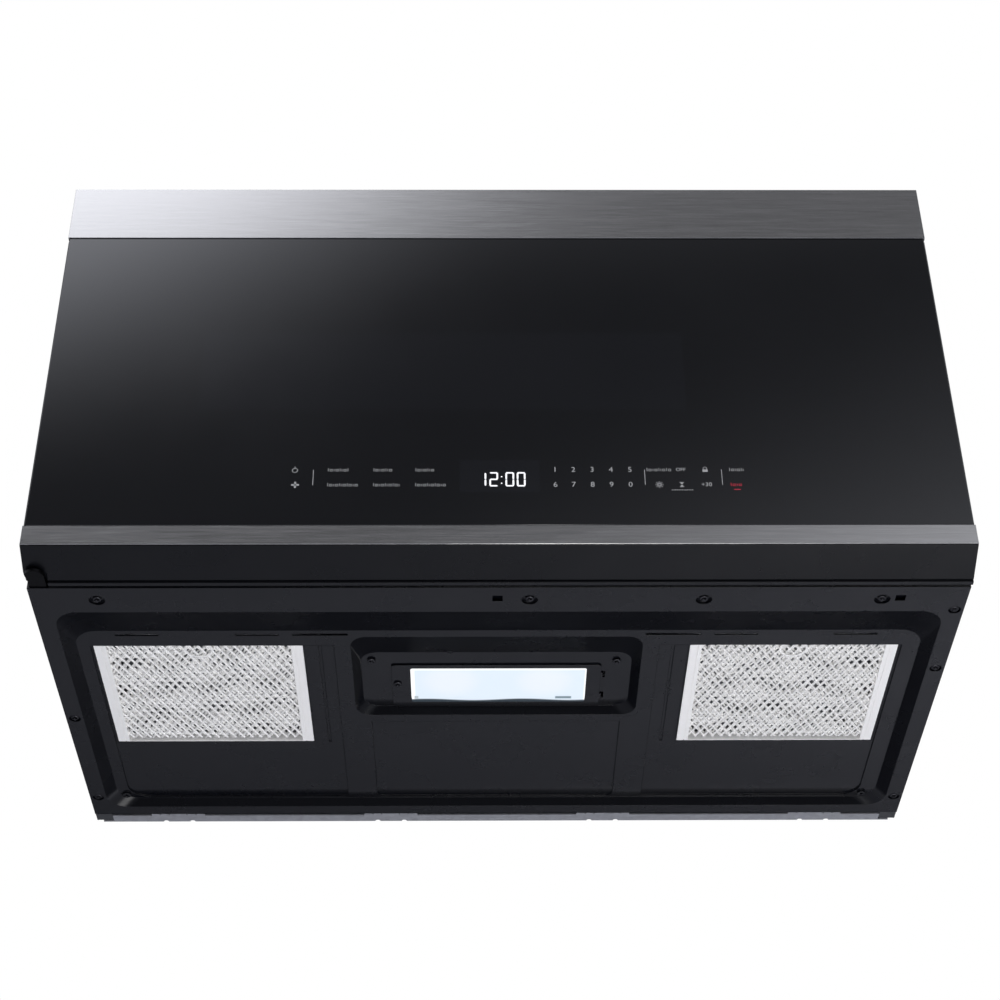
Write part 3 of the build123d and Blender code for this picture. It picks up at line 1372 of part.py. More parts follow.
with BuildPart() as magnetron:
    yoke_x = (guide_x[1], bay_wall_x - 8.0)
    yoke_y = (magnetron_y - magnetron_width / 2, magnetron_y + magnetron_width / 2)
    yoke_z = (magnetron_z - magnetron_height / 2, magnetron_z + magnetron_height / 2)
    slab(yoke_x, yoke_y, yoke_z)
    slab(
        (yoke_x[0] + yoke_wall, yoke_x[1] - yoke_wall),
        yoke_y,
        (yoke_z[0] + yoke_wall, yoke_z[1] - yoke_wall),
        Mode.SUBTRACT,
    )
    lying_x(yoke_x, magnetron_y, magnetron_z, anode_radius)
    antenna_span = (yoke_x[0] - antenna_length, yoke_x[0])
    lying_x(antenna_span, magnetron_y, magnetron_z, antenna_radius)
    fin_pitch = (yoke_x[1] - yoke_x[0] - 24.0) / (fin_count - 1)
    for step in range(fin_count):
        x = yoke_x[0] + 12.0 + step * fin_pitch
        slab((x - 0.5, x + 0.5), (yoke_y[0] + 4.0, yoke_y[1] - 4.0), yoke_z)
save(magnetron, "magnetron")

with BuildPart() as hv_transformer:
    core_x = (bay_left + 14.0, bay_wall_x - 10.0)
    core_y = (magnetron_y - core_length / 2, magnetron_y + core_length / 2)
    core_z = (inner_base_level + sheet, inner_base_level + sheet + core_height)
    slab(core_x, core_y, core_z)
    with Locations(((core_x[0] + core_x[1]) / 2, magnetron_y, (core_z[0] + core_z[1]) / 2)):
        Box(core_x[1] - core_x[0] - 26.0, winding_length, winding_height)
    for edge in (core_x[0], core_x[1] - 8.0):
        slab((edge, edge + 8.0), (core_y[0] - 8.0, core_y[1] + 8.0), (core_z[0], core_z[0] + 2.0))
save(hv_transformer, "hv_transformer")

with BuildPart() as hv_capacitor:
    capacitor_x = bay_left + 35.0
    capacitor_y = magnetron_y - capacitor_setback
    capacitor_top = inner_base_level + sheet + capacitor_height
    with BuildSketch(Plane.XY.offset(inner_base_level + sheet)):
        with Locations((capacitor_x, capacitor_y)):
            SlotOverall(capacitor_width, capacitor_thick)
    extrude(amount=capacitor_height)
    for y in (capacitor_y - 8.0, capacitor_y + 8.0):
        post(capacitor_x, y, (capacitor_top, capacitor_top + terminal_height), terminal_radius)
save(hv_capacitor, "hv_capacitor")

with BuildPart() as cooling_fan_shroud:
    shroud_y = (fan_y - 9.0, fan_y + 9.0)
    spoke_y = (fan_y + 10.5, fan_y + 13.5)
    slab((fan_x - fan_case, fan_x + fan_case), shroud_y, (fan_z - fan_case, fan_z + fan_case))
    lying_y(fan_x, shroud_y, fan_z, fan_radius + 2.5, Mode.SUBTRACT)
    # cross bar that carries the motor, on a post at each side
    for hand in (-1, 1):
        near, far = sorted((hand * (fan_case - 4.0), hand * fan_case))
        slab((fan_x + near, fan_x + far), (shroud_y[0], spoke_y[1]), (fan_z - 10.0, fan_z + 10.0))
    slab((fan_x - fan_case, fan_x + fan_case), spoke_y, (fan_z - 4.0, fan_z + 4.0))
    lying_y(fan_x, spoke_y, fan_z, fan_shaft + 2.0, Mode.SUBTRACT)
    # foot that hooks onto the cavity wall
    slab((bay_left, fan_x - fan_case), shroud_y, (fan_z - 40.0, fan_z - 30.0))
save(cooling_fan_shroud, "cooling_fan_shroud")

with BuildPart() as cooling_fan_motor:
    fan_motor_y = (fan_y + 13.5, fan_y + 41.0)
    with Locations((fan_x, sum(fan_motor_y) / 2, fan_z)):
        Box(46.0, fan_motor_y[1] - fan_motor_y[0], 38.0)
    lying_y(fan_x, (fan_y - 7.0, fan_motor_y[0]), fan_z, fan_shaft)
save(cooling_fan_motor, "cooling_fan_motor")

with BuildPart() as cooling_fan_blade:
    hub_y = (fan_y - fan_depth / 2, fan_y + fan_depth / 2)
    lying_y(fan_x, hub_y, fan_z, fan_hub)
    for turn in range(fan_blades):
        angle = radians(360 / fan_blades * turn)
        outward = Vector(cos(angle), 0, sin(angle))
        centre = Vector(fan_x, fan_y, fan_z)
        for reach, (wide, pitch) in ((fan_hub - 2.0, fan_root), (fan_radius - 2.5, fan_tip)):
            blade_plane = Plane(centre + outward * reach, x_dir=(0, 1, 0), z_dir=outward)
            with BuildSketch(blade_plane):
                Rectangle(fan_blade_thick, wide, rotation=pitch)
        loft(ruled=True)
    lying_y(fan_x, hub_y, fan_z, fan_shaft + run_fit, Mode.SUBTRACT)
save(cooling_fan_blade, "cooling_fan_blade")

with BuildPart() as power_board:
    near_y = frame_rear + 24.8
    low_z = cavity_top - board_drop
    board_face = bay_wall_x - 2.0 - board_thick
    board_y = (near_y, near_y + board_length)
    slab((board_face, board_face + board_thick), board_y, (low_z, low_z + board_height))
    # relays, a transformer and the four pegs that carry the board
    for place in relay_places:
        relay_y = (near_y + place - 10.0, near_y + place + 10.0)
        slab((board_face - 16.4, board_face), relay_y, (low_z + 17.0, low_z + 33.0))
    coil_y = (near_y + 90.0, near_y + 124.0)
    slab((board_face - 28.4, board_face), coil_y, (low_z + 80.0, low_z + 122.0))
    for y in (near_y + 6.0, near_y + board_length - 6.0):
        for z in (low_z + 6.0, low_z + board_height - 6.0):
            lying_x((board_face, bay_wall_x), y, z, 3.0)
save(power_board, "power_board")

with BuildPart() as noise_filter:
    filter_plate_y = (rear_inner - 4.0, rear_inner - 4.0 + board_thick)
    filter_plate_x = bay_left + 13.0
    slab((filter_plate_x, filter_plate_x + 80.0), filter_plate_y, (blower_z - 30.0, blower_z + 30.0))
    for x in (filter_plate_x + 22.0, filter_plate_x + 52.0):
        lying_y(x, (rear_inner - 22.0, rear_inner - 4.0), blower_z, choke_coil_radius)
    for x in (filter_plate_x + 5.0, filter_plate_x + 75.0):
        lying_y(x, (rear_inner - 4.0, rear_inner), blower_z - 25.0, 2.5)
save(noise_filter, "noise_filter")

with BuildPart() as cavity_lamp:
    slab((bay_left, bay_left + 2.0), (lamp_y - 24.0, lamp_y + 24.0), (air_hole_z - 24.0, air_hole_z + 24.0))
    socket_x = (bay_left + 2.0, bay_left + 22.0)
    slab(socket_x, (lamp_y - 12.0, lamp_y + 12.0), (air_hole_z - 12.0, air_hole_z + 12.0))
save(cavity_lamp, "cavity_lamp")

with BuildPart() as cord_gland:
    post(cord_x, cord_y, (top_inner - 3.0, top_inner), cord_bore_radius + 6.0)
    post(cord_x, cord_y, (top_inner, height), cord_bore_radius + 2.8)
    post(cord_x, cord_y, (top_inner - 12.0, top_inner - 3.0), cord_bore_radius + 2.5)
    post(cord_x, cord_y, (top_inner - 12.0, height), cord_bore_radius, Mode.SUBTRACT)
save(cord_gland, "cord_gland")
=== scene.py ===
"""Finishes, printed keys, filter nets, screws, lamps and camera for the over the range oven."""

import json
import math
from contextlib import contextmanager

import bpy
from mathutils import Matrix, Vector


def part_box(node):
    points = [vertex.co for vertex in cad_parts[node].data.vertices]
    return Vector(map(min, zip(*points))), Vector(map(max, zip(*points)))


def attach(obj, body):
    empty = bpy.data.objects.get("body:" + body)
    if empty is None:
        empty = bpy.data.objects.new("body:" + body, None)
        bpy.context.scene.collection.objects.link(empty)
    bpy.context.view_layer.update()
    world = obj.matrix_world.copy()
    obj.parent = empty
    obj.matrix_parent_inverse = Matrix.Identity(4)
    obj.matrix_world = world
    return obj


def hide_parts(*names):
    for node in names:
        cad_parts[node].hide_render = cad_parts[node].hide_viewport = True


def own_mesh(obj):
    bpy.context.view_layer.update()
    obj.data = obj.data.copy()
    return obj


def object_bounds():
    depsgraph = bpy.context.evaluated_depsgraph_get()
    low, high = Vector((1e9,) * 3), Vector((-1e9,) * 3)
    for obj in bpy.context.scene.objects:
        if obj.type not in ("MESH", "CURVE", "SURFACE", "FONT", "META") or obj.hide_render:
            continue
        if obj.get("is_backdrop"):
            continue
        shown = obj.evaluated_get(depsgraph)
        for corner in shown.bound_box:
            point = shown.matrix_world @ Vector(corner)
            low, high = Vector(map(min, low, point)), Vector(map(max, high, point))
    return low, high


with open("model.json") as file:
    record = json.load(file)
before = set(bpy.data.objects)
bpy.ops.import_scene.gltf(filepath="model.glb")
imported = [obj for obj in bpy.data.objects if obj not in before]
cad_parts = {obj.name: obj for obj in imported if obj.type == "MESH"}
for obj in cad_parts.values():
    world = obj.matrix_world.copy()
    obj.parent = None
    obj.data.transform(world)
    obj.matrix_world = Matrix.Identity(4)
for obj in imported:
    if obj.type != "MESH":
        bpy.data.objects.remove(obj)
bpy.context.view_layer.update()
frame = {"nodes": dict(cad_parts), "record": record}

nodes = frame["nodes"]
mm = 0.001
quarter_turn = math.pi / 2

# ---------------------------------------------------------------- helpers for shapes


def deselect():
    """Leaves edit mode and clears the selection, so that an operator acts on one piece only."""
    if bpy.context.object and bpy.context.object.mode != "OBJECT":
        bpy.ops.object.mode_set(mode="OBJECT")
    bpy.ops.object.select_all(action="DESELECT")


def take(piece):
    """Selects one piece and makes it active."""
    deselect()
    piece.select_set(True)
    bpy.context.view_layer.objects.active = piece


def settle(piece):
    """Puts a piece's place, turn and size into its mesh."""
    take(piece)
    bpy.ops.object.transform_apply(location=True, rotation=True, scale=True)
    return piece


def added(name):
    """Names the piece that the last operator made."""
    piece = bpy.context.object
    piece.name = name
    piece.data.name = name
    return piece


@contextmanager
def whole_mesh():
    """Edit mode on the active piece, with its whole mesh selected."""
    bpy.ops.object.mode_set(mode="EDIT")
    bpy.ops.mesh.select_all(action="SELECT")
    yield
    bpy.ops.object.mode_set(mode="OBJECT")


def apply_all(piece):
    """Applies every modifier of a piece, in order."""
    take(piece)
    for modifier in list(piece.modifiers):
        bpy.ops.object.modifier_apply(modifier=modifier.name)


def block(name, low, high):
    """A block between two corners."""
    deselect()
    middle = [(a + b) / 2 for a, b in zip(low, high)]
    bpy.ops.mesh.primitive_cube_add(size=1, location=middle)
    piece = added(name)
    piece.scale = [b - a for a, b in zip(low, high)]
    return settle(piece)


def join(name, pieces):
    """Joins pieces into one."""
    deselect()
    for piece in pieces:
        piece.select_set(True)
    bpy.context.view_layer.objects.active = pieces[0]
    bpy.ops.object.join()
    return added(name)


def own_copy(piece):
    """A copy of a piece with a mesh of its own."""
    twin = piece.copy()
    twin.data = piece.data.copy()
    bpy.context.scene.collection.objects.link(twin)
    return twin


def copies(source, places, turns):
    """Turned copies of a piece, one at each place, in place of the piece itself."""
    made = []
    for place, turn in zip(places, turns):
        deselect()
        twin = own_copy(source)
        twin.data.transform(Matrix.Translation(place) @ Matrix.Rotation(turn, 4, "Z"))
        made.append(twin)
    bpy.data.objects.remove(source)
    return made


def dress(piece, material, body):
    """Gives a new piece its finish and the body that it rides on."""
    piece.data.materials.clear()
    piece.data.materials.append(material)
    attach(piece, body)
    return piece


# ---------------------------------------------------------------- helpers for finishes


def feed(tree, socket, value):
    """Gives a socket a number or a colour, or ties it to the output of another node."""
    if isinstance(value, bpy.types.NodeSocket):
        tree.links.new(value, socket)
    else:
        socket.default_value = value


def effect(name, inputs, outputs):
    """An empty node group with named inputs and outputs."""
    tree = bpy.data.node_groups.new(name, "ShaderNodeTree")
    for label, value in inputs:
        socket = tree.interface.new_socket(label, in_out="INPUT", socket_type="NodeSocketFloat")
        socket.default_value = value
    for label in outputs:
        tree.interface.new_socket(label, in_out="OUTPUT", socket_type="NodeSocketFloat")
    entry = tree.nodes.new("NodeGroupInput")
    leave = tree.nodes.new("NodeGroupOutput")
    return tree, entry.outputs, leave.inputs


def maths(tree, kind, *values):
    """A math node fed by one or two sockets or numbers."""
    node = tree.nodes.new("ShaderNodeMath")
    node.operation = kind
    for socket, value in zip(node.inputs, values):
        feed(tree, socket, value)
    return node.outputs[0]


def ramp(tree, value, low, high, to_low=0.0, to_high=1.0, smooth=False):
    """Maps a value from one span to another, held at the ends."""
    node = tree.nodes.new("ShaderNodeMapRange")
    if smooth:
        node.interpolation_type = "SMOOTHSTEP"
    tree.links.new(value, node.inputs["Value"])
    for label, number in (("From Min", low), ("From Max", high), ("To Min", to_low), ("To Max", to_high)):
        feed(tree, node.inputs[label], number)
    return node.outputs["Result"]


def noise(tree, vector, scale, detail=2.0, rough=0.5):
    """Cloudy noise over a vector."""
    node = tree.nodes.new("ShaderNodeTexNoise")
    node.inputs["Detail"].default_value = detail
    node.inputs["Roughness"].default_value = rough
    feed(tree, node.inputs["Scale"], scale)
    tree.links.new(vector, node.inputs["Vector"])
    return node.outputs[0]


def cells(tree, vector, scale):
    """The outputs of a pattern of cells over a vector."""
    node = tree.nodes.new("ShaderNodeTexVoronoi")
    tree.links.new(vector, node.inputs["Vector"])
    tree.links.new(scale, node.inputs["Scale"])
    return node.outputs


def blend_colour(tree, choice, first, second):
    """The first colour where the choice is nothing, the second where it is one."""
    mix = tree.nodes.new("ShaderNodeMix")
    mix.data_type = "RGBA"
    colours = [socket for socket in mix.inputs if socket.type == "RGBA"]
    tree.links.new(choice, mix.inputs["Factor"])
    for socket, colour in zip(colours, (first, second)):
        feed(tree, socket, (*colour, 1.0) if isinstance(colour, (tuple, list)) else colour)
    return next(socket for socket in mix.outputs if socket.type == "RGBA")


def place_of(tree):
    """The point on the piece, in metres."""
    return tree.nodes.new("ShaderNodeTexCoord").outputs["Object"]


def axes_of(tree, vector):
    """X, Y and Z of a vector."""
    split = tree.nodes.new("ShaderNodeSeparateXYZ")
    tree.links.new(vector, split.inputs[0])
    return split.outputs


def rectangle_mask(tree, first, second, sides, soft):
    """One inside the sides of a rectangle of two axes, fading to nothing over a soft edge."""
    left, right, low, high = sides
    fades = []
    for axis, near, far in ((first, left, right), (second, low, high)):
        fades.append(ramp(tree, axis, near - soft, near + soft, smooth=True))
        fades.append(ramp(tree, axis, far - soft, far + soft, 1.0, 0.0, smooth=True))
    mask = fades[0]
    for fade in fades[1:]:
        mask = maths(tree, "MULTIPLY", mask, fade)
    return mask


# Fine orange peel of a sprayed or powder coated sheet, with broad faint blotches.
coat_peel, given, result = effect("coat_peel", (("Fine", 900.0), ("Broad", 14.0)), ("Height", "Blotch"))
point = place_of(coat_peel)
coat_peel.links.new(noise(coat_peel, point, given["Fine"], 3.0), result["Height"])
coat_peel.links.new(noise(coat_peel, point, given["Broad"], 4.0, 0.6), result["Blotch"])


def streaks(tree, axes, long, thin, seed):
    """Thin streaks along X."""
    stretched = tree.nodes.new("ShaderNodeCombineXYZ")
    along = maths(tree, "ADD", maths(tree, "MULTIPLY", axes[0], long), seed)
    tree.links.new(along, stretched.inputs[0])
    for n in (1, 2):
        tree.links.new(maths(tree, "MULTIPLY", axes[n], thin), stretched.inputs[n])
    return noise(tree, stretched.outputs[0], 1.0, 3.0, 0.65)


# Brushed grain: long thin streaks along X, in two weights.
brush_grain, given, result = effect("brush_grain", (("Long", 22.0), ("Thin", 1100.0)), ("Streak", "Height"))
axes = axes_of(brush_grain, place_of(brush_grain))
coarse = streaks(brush_grain, axes, given["Long"], given["Thin"], 3.0)
fine_long = maths(brush_grain, "MULTIPLY", given["Long"], 3.0)
fine_thin = maths(brush_grain, "MULTIPLY", given["Thin"], 2.7)
fine = streaks(brush_grain, axes, fine_long, fine_thin, 11.0)
coarse_share = maths(brush_grain, "MULTIPLY", coarse, 0.6)
fine_share = maths(brush_grain, "MULTIPLY", fine, 0.4)
brush_grain.links.new(maths(brush_grain, "ADD", coarse_share, fine_share), result["Streak"])
brush_grain.links.new(fine, result["Height"])

# Zinc spangle: flat crystals of slightly different brightness.
zinc_spangle, given, result = effect("zinc_spangle", (("Size", 160.0),), ("Crystal", "Height"))
point = place_of(zinc_spangle)
tone = zinc_spangle.nodes.new("ShaderNodeSeparateColor")
zinc_spangle.links.new(cells(zinc_spangle, point, given["Size"])["Color"], tone.inputs[0])
zinc_spangle.links.new(tone.outputs[0], result["Crystal"])
zinc_spangle.links.new(noise(zinc_spangle, point, 1400.0), result["Height"])

# Moulding grain: the eroded texture of a plastic moulding.
mould_grain, given, result = effect("mould_grain", (("Grain", 1500.0),), ("Height", "Blotch"))
point = place_of(mould_grain)
mould_grain.links.new(cells(mould_grain, point, given["Grain"])["Distance"], result["Height"])
mould_grain.links.new(noise(mould_grain, point, 20.0, 3.0), result["Blotch"])

finish = {}


class Finish:
    """A material in the making: a Principled shader, to which effects are tied."""

    def __init__(self, name, colour, rough, metal=0.0, **more):
        self.material = bpy.data.materials.new(name)
        self.material.use_nodes = True
        self.tree = self.material.node_tree
        self.shader = self.tree.nodes["Principled BSDF"]
        self.colour = colour
        self.rough = rough
        self.set("Base Color", (*colour, 1.0))
        self.set("Roughness", rough)
        self.set("Metallic", metal)
        for label, value in more.items():
            self.set(label.replace("_", " "), value)
        finish[name] = self.material

    def set(self, label, value):
        """Gives an input of the shader one value all over."""
        self.shader.inputs[label].default_value = value

    def use(self, group, **values):
        """Places an effect in the material and gives its inputs their numbers."""
        node = self.tree.nodes.new("ShaderNodeGroup")
        node.node_tree = group
        for label, value in values.items():
            node.inputs[label].default_value = value
        return node.outputs

    def shade(self, value, low, high):
        """Base colour runs between two multiples of itself with the value."""
        darker = [min(1.0, c * low) for c in self.colour]
        lighter = [min(1.0, c * high) for c in self.colour]
        colour = blend_colour(self.tree, value, darker, lighter)
        self.tree.links.new(colour, self.shader.inputs["Base Color"])
        return colour

    def dull(self, value, spread):
        """Roughness varies about its value by plus and minus the spread."""
        least, most = max(0.0, self.rough - spread), min(1.0, self.rough + spread)
        self.tree.links.new(ramp(self.tree, value, 0.25, 0.75, least, most), self.shader.inputs["Roughness"])

    def bump(self, value, strength, distance, edge=0.0):
        """Relief from a height, over edges rounded by the given radius."""
        node = self.tree.nodes.new("ShaderNodeBump")
        if edge:
            rounded = self.tree.nodes.new("ShaderNodeBevel")
            rounded.samples = 4
            rounded.inputs["Radius"].default_value = edge
            self.tree.links.new(rounded.outputs[0], node.inputs["Normal"])
        node.inputs["Strength"].default_value = strength
        node.inputs["Distance"].default_value = distance
        self.tree.links.new(value, node.inputs["Height"])
        self.tree.links.new(node.outputs[0], self.shader.inputs["Normal"])


def coated(name, colour, rough, fine=900.0, peel=0.08, spec=0.3, edge=0.0):
    """A sprayed or powder coated sheet."""
    coat = Finish(name, colour, rough, Specular_IOR_Level=spec)
    out = coat.use(coat_peel, Fine=fine)
    coat.shade(out["Blotch"], 0.88, 1.12)
    coat.dull(out["Blotch"], 0.03)
    coat.bump(out["Height"], peel, 0.3 * mm, edge)


def moulded(name, colour, rough):
    """A grained plastic moulding."""
    plastic = Finish(name, colour, rough, Specular_IOR_Level=0.35)
    out = plastic.use(mould_grain, Grain=1500.0)
    plastic.shade(out["Blotch"], 0.9, 1.1)
    plastic.dull(out["Blotch"], 0.05)
    plastic.bump(out["Height"], 0.15, 0.2 * mm)


def zinced(name, colour, rough, size, metal=1.0):
    """Galvanised or zinc plated sheet."""
    zinc = Finish(name, colour, rough, metal)
    out = zinc.use(zinc_spangle, Size=size)
    zinc.shade(out["Crystal"], 0.9, 1.08)
    zinc.dull(out["Crystal"], 0.04)
    zinc.bump(out["Height"], 0.05, 0.2 * mm)


def brushed(name, colour, rough, long=22.0, thin=1100.0, deep=0.12, spread=(0.8, 1.2), dulled=0.1):
    """Brushed metal with its grain along X."""
    metal = Finish(name, colour, rough, 1.0)
    out = metal.use(brush_grain, Long=long, Thin=thin)
    metal.shade(out["Streak"], *spread)
    metal.dull(out["Streak"], dulled)
    metal.bump(out["Height"], deep, 0.1 * mm)


# ---------------------------------------------------------------- finishes, one for each slot
coated("case_paint", (0.03, 0.031, 0.034), 0.42, fine=700.0, peel=0.2, spec=0.35)
coated("base_paint", (0.0018, 0.0021, 0.0036), 0.27, peel=0.04, spec=0.24, edge=0.9 * mm)
coated("door_paint", (0.003, 0.0033, 0.0046), 0.28, peel=0.04, spec=0.2, edge=0.8 * mm)
zinced("screw_steel", (0.05, 0.05, 0.055), 0.35, 900.0)
zinced("galvanised", (0.29, 0.295, 0.315), 0.45, 220.0, metal=0.5)
zinced("zinc_motor", (0.5, 0.5, 0.5), 0.38, 240.0, metal=0.6)
zinced("hinge_steel", (0.012, 0.012, 0.013), 0.5, 500.0)
brushed("brushed_trim", (0.35, 0.346, 0.34), 0.17, deep=0.06, spread=(0.74, 1.26), dulled=0.05)
moulded("black_moulding", (0.014, 0.014, 0.015), 0.5)
moulded("white_moulding", (0.72, 0.72, 0.7), 0.45)
moulded("wheel_moulding", (0.04, 0.04, 0.043), 0.5)
moulded("switch_moulding", (0.03, 0.03, 0.03), 0.45)
coated("cavity_enamel", (0.5, 0.51, 0.52), 0.3, fine=300.0, peel=0.15, spec=0.5)
coated("screen_paint", (0.01, 0.01, 0.01), 0.45)

charcoal = Finish("charcoal", (0.012, 0.012, 0.012), 0.95)
out = charcoal.use(mould_grain, Grain=420.0)
charcoal.shade(out["Height"], 0.4, 2.2)
charcoal.bump(out["Height"], 1.0, 1.2 * mm)

board = Finish("circuit_board", (0.02, 0.13, 0.05), 0.35, Specular_IOR_Level=0.5)
out = board.use(brush_grain, Long=300.0, Thin=420.0)
board.shade(ramp(board.tree, out["Streak"], 0.48, 0.52), 0.75, 1.5)
board.bump(out["Streak"], 0.2, 0.1 * mm)

mica = Finish("mica", (0.5, 0.44, 0.33), 0.55)
out = mica.use(coat_peel, Fine=260.0, Broad=60.0)
mica.shade(out["Blotch"], 0.7, 1.3)
mica.bump(out["Height"], 0.2, 0.3 * mm)

brushed("magnetron_metal", (0.6, 0.6, 0.61), 0.4, long=60.0, thin=400.0)
brushed("capacitor_can", (0.65, 0.65, 0.66), 0.3, long=300.0, thin=300.0)

iron = Finish("transformer_iron", (0.05, 0.045, 0.045), 0.45, 0.6)
out = iron.use(brush_grain, Long=2.0, Thin=900.0)
iron.shade(out["Streak"], 0.5, 1.6)
iron.bump(out["Streak"], 0.6, 0.5 * mm)

lens = Finish("lamp_glass", (0.12, 0.14, 0.15), 0.3)
clear = Finish("clear_glass", (0.92, 0.96, 0.96), 0.03, Transmission_Weight=1.0, IOR=1.5)
out = clear.use(coat_peel, Fine=40.0, Broad=9.0)
clear.dull(out["Blotch"], 0.02)

channel = Finish("filter_aluminium", (0.91, 0.9, 0.88), 0.4, 0.3)
out = channel.use(brush_grain, Long=900.0, Thin=900.0)
channel.shade(out["Streak"], 0.9, 1.08)
channel.dull(out["Streak"], 0.06)

net = Finish("filter_mesh", (0.95, 0.94, 0.92), 0.3, 0.3)
out = net.use(coat_peel, Fine=700.0, Broad=90.0)
net.shade(out["Blotch"], 0.9, 1.05)
net.dull(out["Blotch"], 0.1)

# Black printed glass, a shade lighter at the oven window and round the clock. Each rectangle has
# its left, right, foot and head.
oven_window = (-250 * mm, 156 * mm, 152 * mm, 237 * mm)
clock_window = (-32.3 * mm, 32.3 * mm, 66.7 * mm, 99.4 * mm)
print_edge = 0.6 * mm
door = Finish("door_glass", (0.0028, 0.0031, 0.0044), 0.09, Specular_IOR_Level=0.6)
tree = door.tree
axes = axes_of(tree, place_of(tree))
window = rectangle_mask(tree, axes[0], axes[2], oven_window, print_edge)
clock = rectangle_mask(tree, axes[0], axes[2], clock_window, print_edge)
lighter = maths(tree, "MAXIMUM", maths(tree, "MULTIPLY", window, 0.4), maths(tree, "MULTIPLY", clock, 0.6))
door.shade(lighter, 1.0, 2.4)
out = door.use(coat_peel, Fine=60.0, Broad=8.0)
door.dull(out["Blotch"], 0.015)

face = Finish("display_face", (0.006, 0.006, 0.007), 0.2)
out = face.use(mould_grain, Grain=3000.0)
face.bump(out["Height"], 0.05, 0.1 * mm)
face.shade(out["Blotch"], 0.8, 1.2)

# Lit lens: pale blue glow with a white moulded rim, two faint bright places before the diodes, and
# painted shade towards the wall, where the glow and the base colour go dark past a wavy edge; a clip
# at each end is painted as a dim place in the glow. Each rectangle has its left, right, front and rear.
inside_rim = (-72.8 * mm, 74.8 * mm, -30 * mm, 40 * mm)
right_clip_shade = (50 * mm, 64 * mm, 12.8 * mm, 16.6 * mm)
left_clip_shade = (-73.5 * mm, -70 * mm, 12 * mm, 16.5 * mm)
diode_places = (-42 * mm, 40 * mm)
diode_setback = 12 * mm
diode_reach = 30 * mm
wave_height = 1.2 * mm
wave_turn = 75.0  # radians of the wave in a metre
wall_edge = (16.8 * mm, 19.2 * mm)  # where the light begins to fade, and where it is gone

tree = lens.tree
axes = axes_of(tree, place_of(tree))
spot = None
for x in diode_places:
    across = maths(tree, "POWER", maths(tree, "SUBTRACT", axes[0], x), 2.0)
    along = maths(tree, "POWER", maths(tree, "ADD", axes[1], diode_setback), 2.0)
    near = ramp(tree, maths(tree, "ADD", across, along), 0.0, diode_reach**2, 1.0, 0.0, smooth=True)
    spot = near if spot is None else maths(tree, "ADD", spot, near)
glow = blend_colour(tree, spot, (0.66, 0.74, 0.82), (0.73, 0.77, 0.85))
inner = rectangle_mask(tree, axes[0], axes[1], inside_rim, 0.8 * mm)
glow = blend_colour(tree, inner, (1.0, 1.0, 1.0), glow)
# Painted shade: each clip is a dim place in the glow.
for clip, colour in ((right_clip_shade, (0.10, 0.15, 0.18)), (left_clip_shade, (0.36, 0.40, 0.42))):
    glow = blend_colour(tree, rectangle_mask(tree, axes[0], axes[1], clip, print_edge), glow, colour)
# Painted shade: past a wavy edge towards the wall the glow fades to near black.
wave = maths(tree, "SINE", maths(tree, "MULTIPLY", axes[0], wave_turn))
edge = maths(tree, "ADD", axes[1], maths(tree, "MULTIPLY", wave, wave_height))
lit = ramp(tree, edge, wall_edge[1], wall_edge[0], smooth=True)
glow = blend_colour(tree, lit, (0.006, 0.018, 0.028), glow)
tree.links.new(glow, lens.shader.inputs["Emission Color"])
# The same painted shade darkens the base colour towards the wall.
lens.shade(lit, 0.05, 1.0)
lens.set("Emission Strength", 1.0)

for part in frame["record"]["subparts"]:
    for holder in nodes[part["node"]].material_slots:
        holder.material = finish[part["material_slot"]]

# Inks of the printed keys, and the lit segments of the clock.
for name, colour in (("key_ink", (0.46, 0.46, 0.47)), ("stop_ink", (0.55, 0.02, 0.05))):
    ink = Finish(name, colour, 0.4)
    out = ink.use(mould_grain, Grain=2500.0)
    ink.shade(out["Height"], 0.85, 1.1)
segment = Finish("clock_segment", (0.6, 0.6, 0.62), 0.3)
out = segment.use(coat_peel, Fine=900.0, Broad=300.0)
light = segment.shade(out["Blotch"], 0.9, 1.1)
segment.tree.links.new(light, segment.shader.inputs["Emission Color"])
segment.set("Emission Strength", 1.1)

# ---------------------------------------------------------------- printed keys
print_lift = 0.12 * mm
glass_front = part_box("door_glass")[0].y - print_lift
row_high, row_low = 89.2 * mm, 74.0 * mm


def print_flat(name, flat_pieces, material):
    """Joins flat shapes into one print on the glass."""
    return dress(join(name, flat_pieces), material, "door")


def bar(x, z, wide, tall):
    """A small flat bar on the glass, centred at x and z."""
    deselect()
    bpy.ops.mesh.primitive_plane_add(size=1, location=(x, glass_front, z), rotation=(quarter_turn, 0, 0))
    piece = added("bar")
    piece.scale = (wide, tall, 1)
    return settle(piece)


def figure(text, x, z, size):
    """A figure as a flat print, centred at x and z."""
    deselect()
    bpy.ops.object.text_add(location=(x, glass_front, z), rotation=(quarter_turn, 0, 0))
    letters = bpy.context.object.data
    letters.body = text
    letters.size = size
    letters.align_x = "CENTER"
    letters.align_y = "CENTER"
    letters.resolution_u = 3
    bpy.ops.object.convert(target="MESH")
    return settle(added("figure"))


def ring_line(x, z, radius, thick, sides):
    """A flat ring."""
    deselect()
    bpy.ops.mesh.primitive_circle_add(
        vertices=sides,
        radius=radius,
        fill_type="NGON",
        location=(x, glass_front, z),
        rotation=(quarter_turn, 0, 0),
    )
    piece = added("ring_line")
    with whole_mesh():
        bpy.ops.mesh.inset(thickness=thick)
        bpy.ops.mesh.delete(type="FACE")
    return settle(piece)


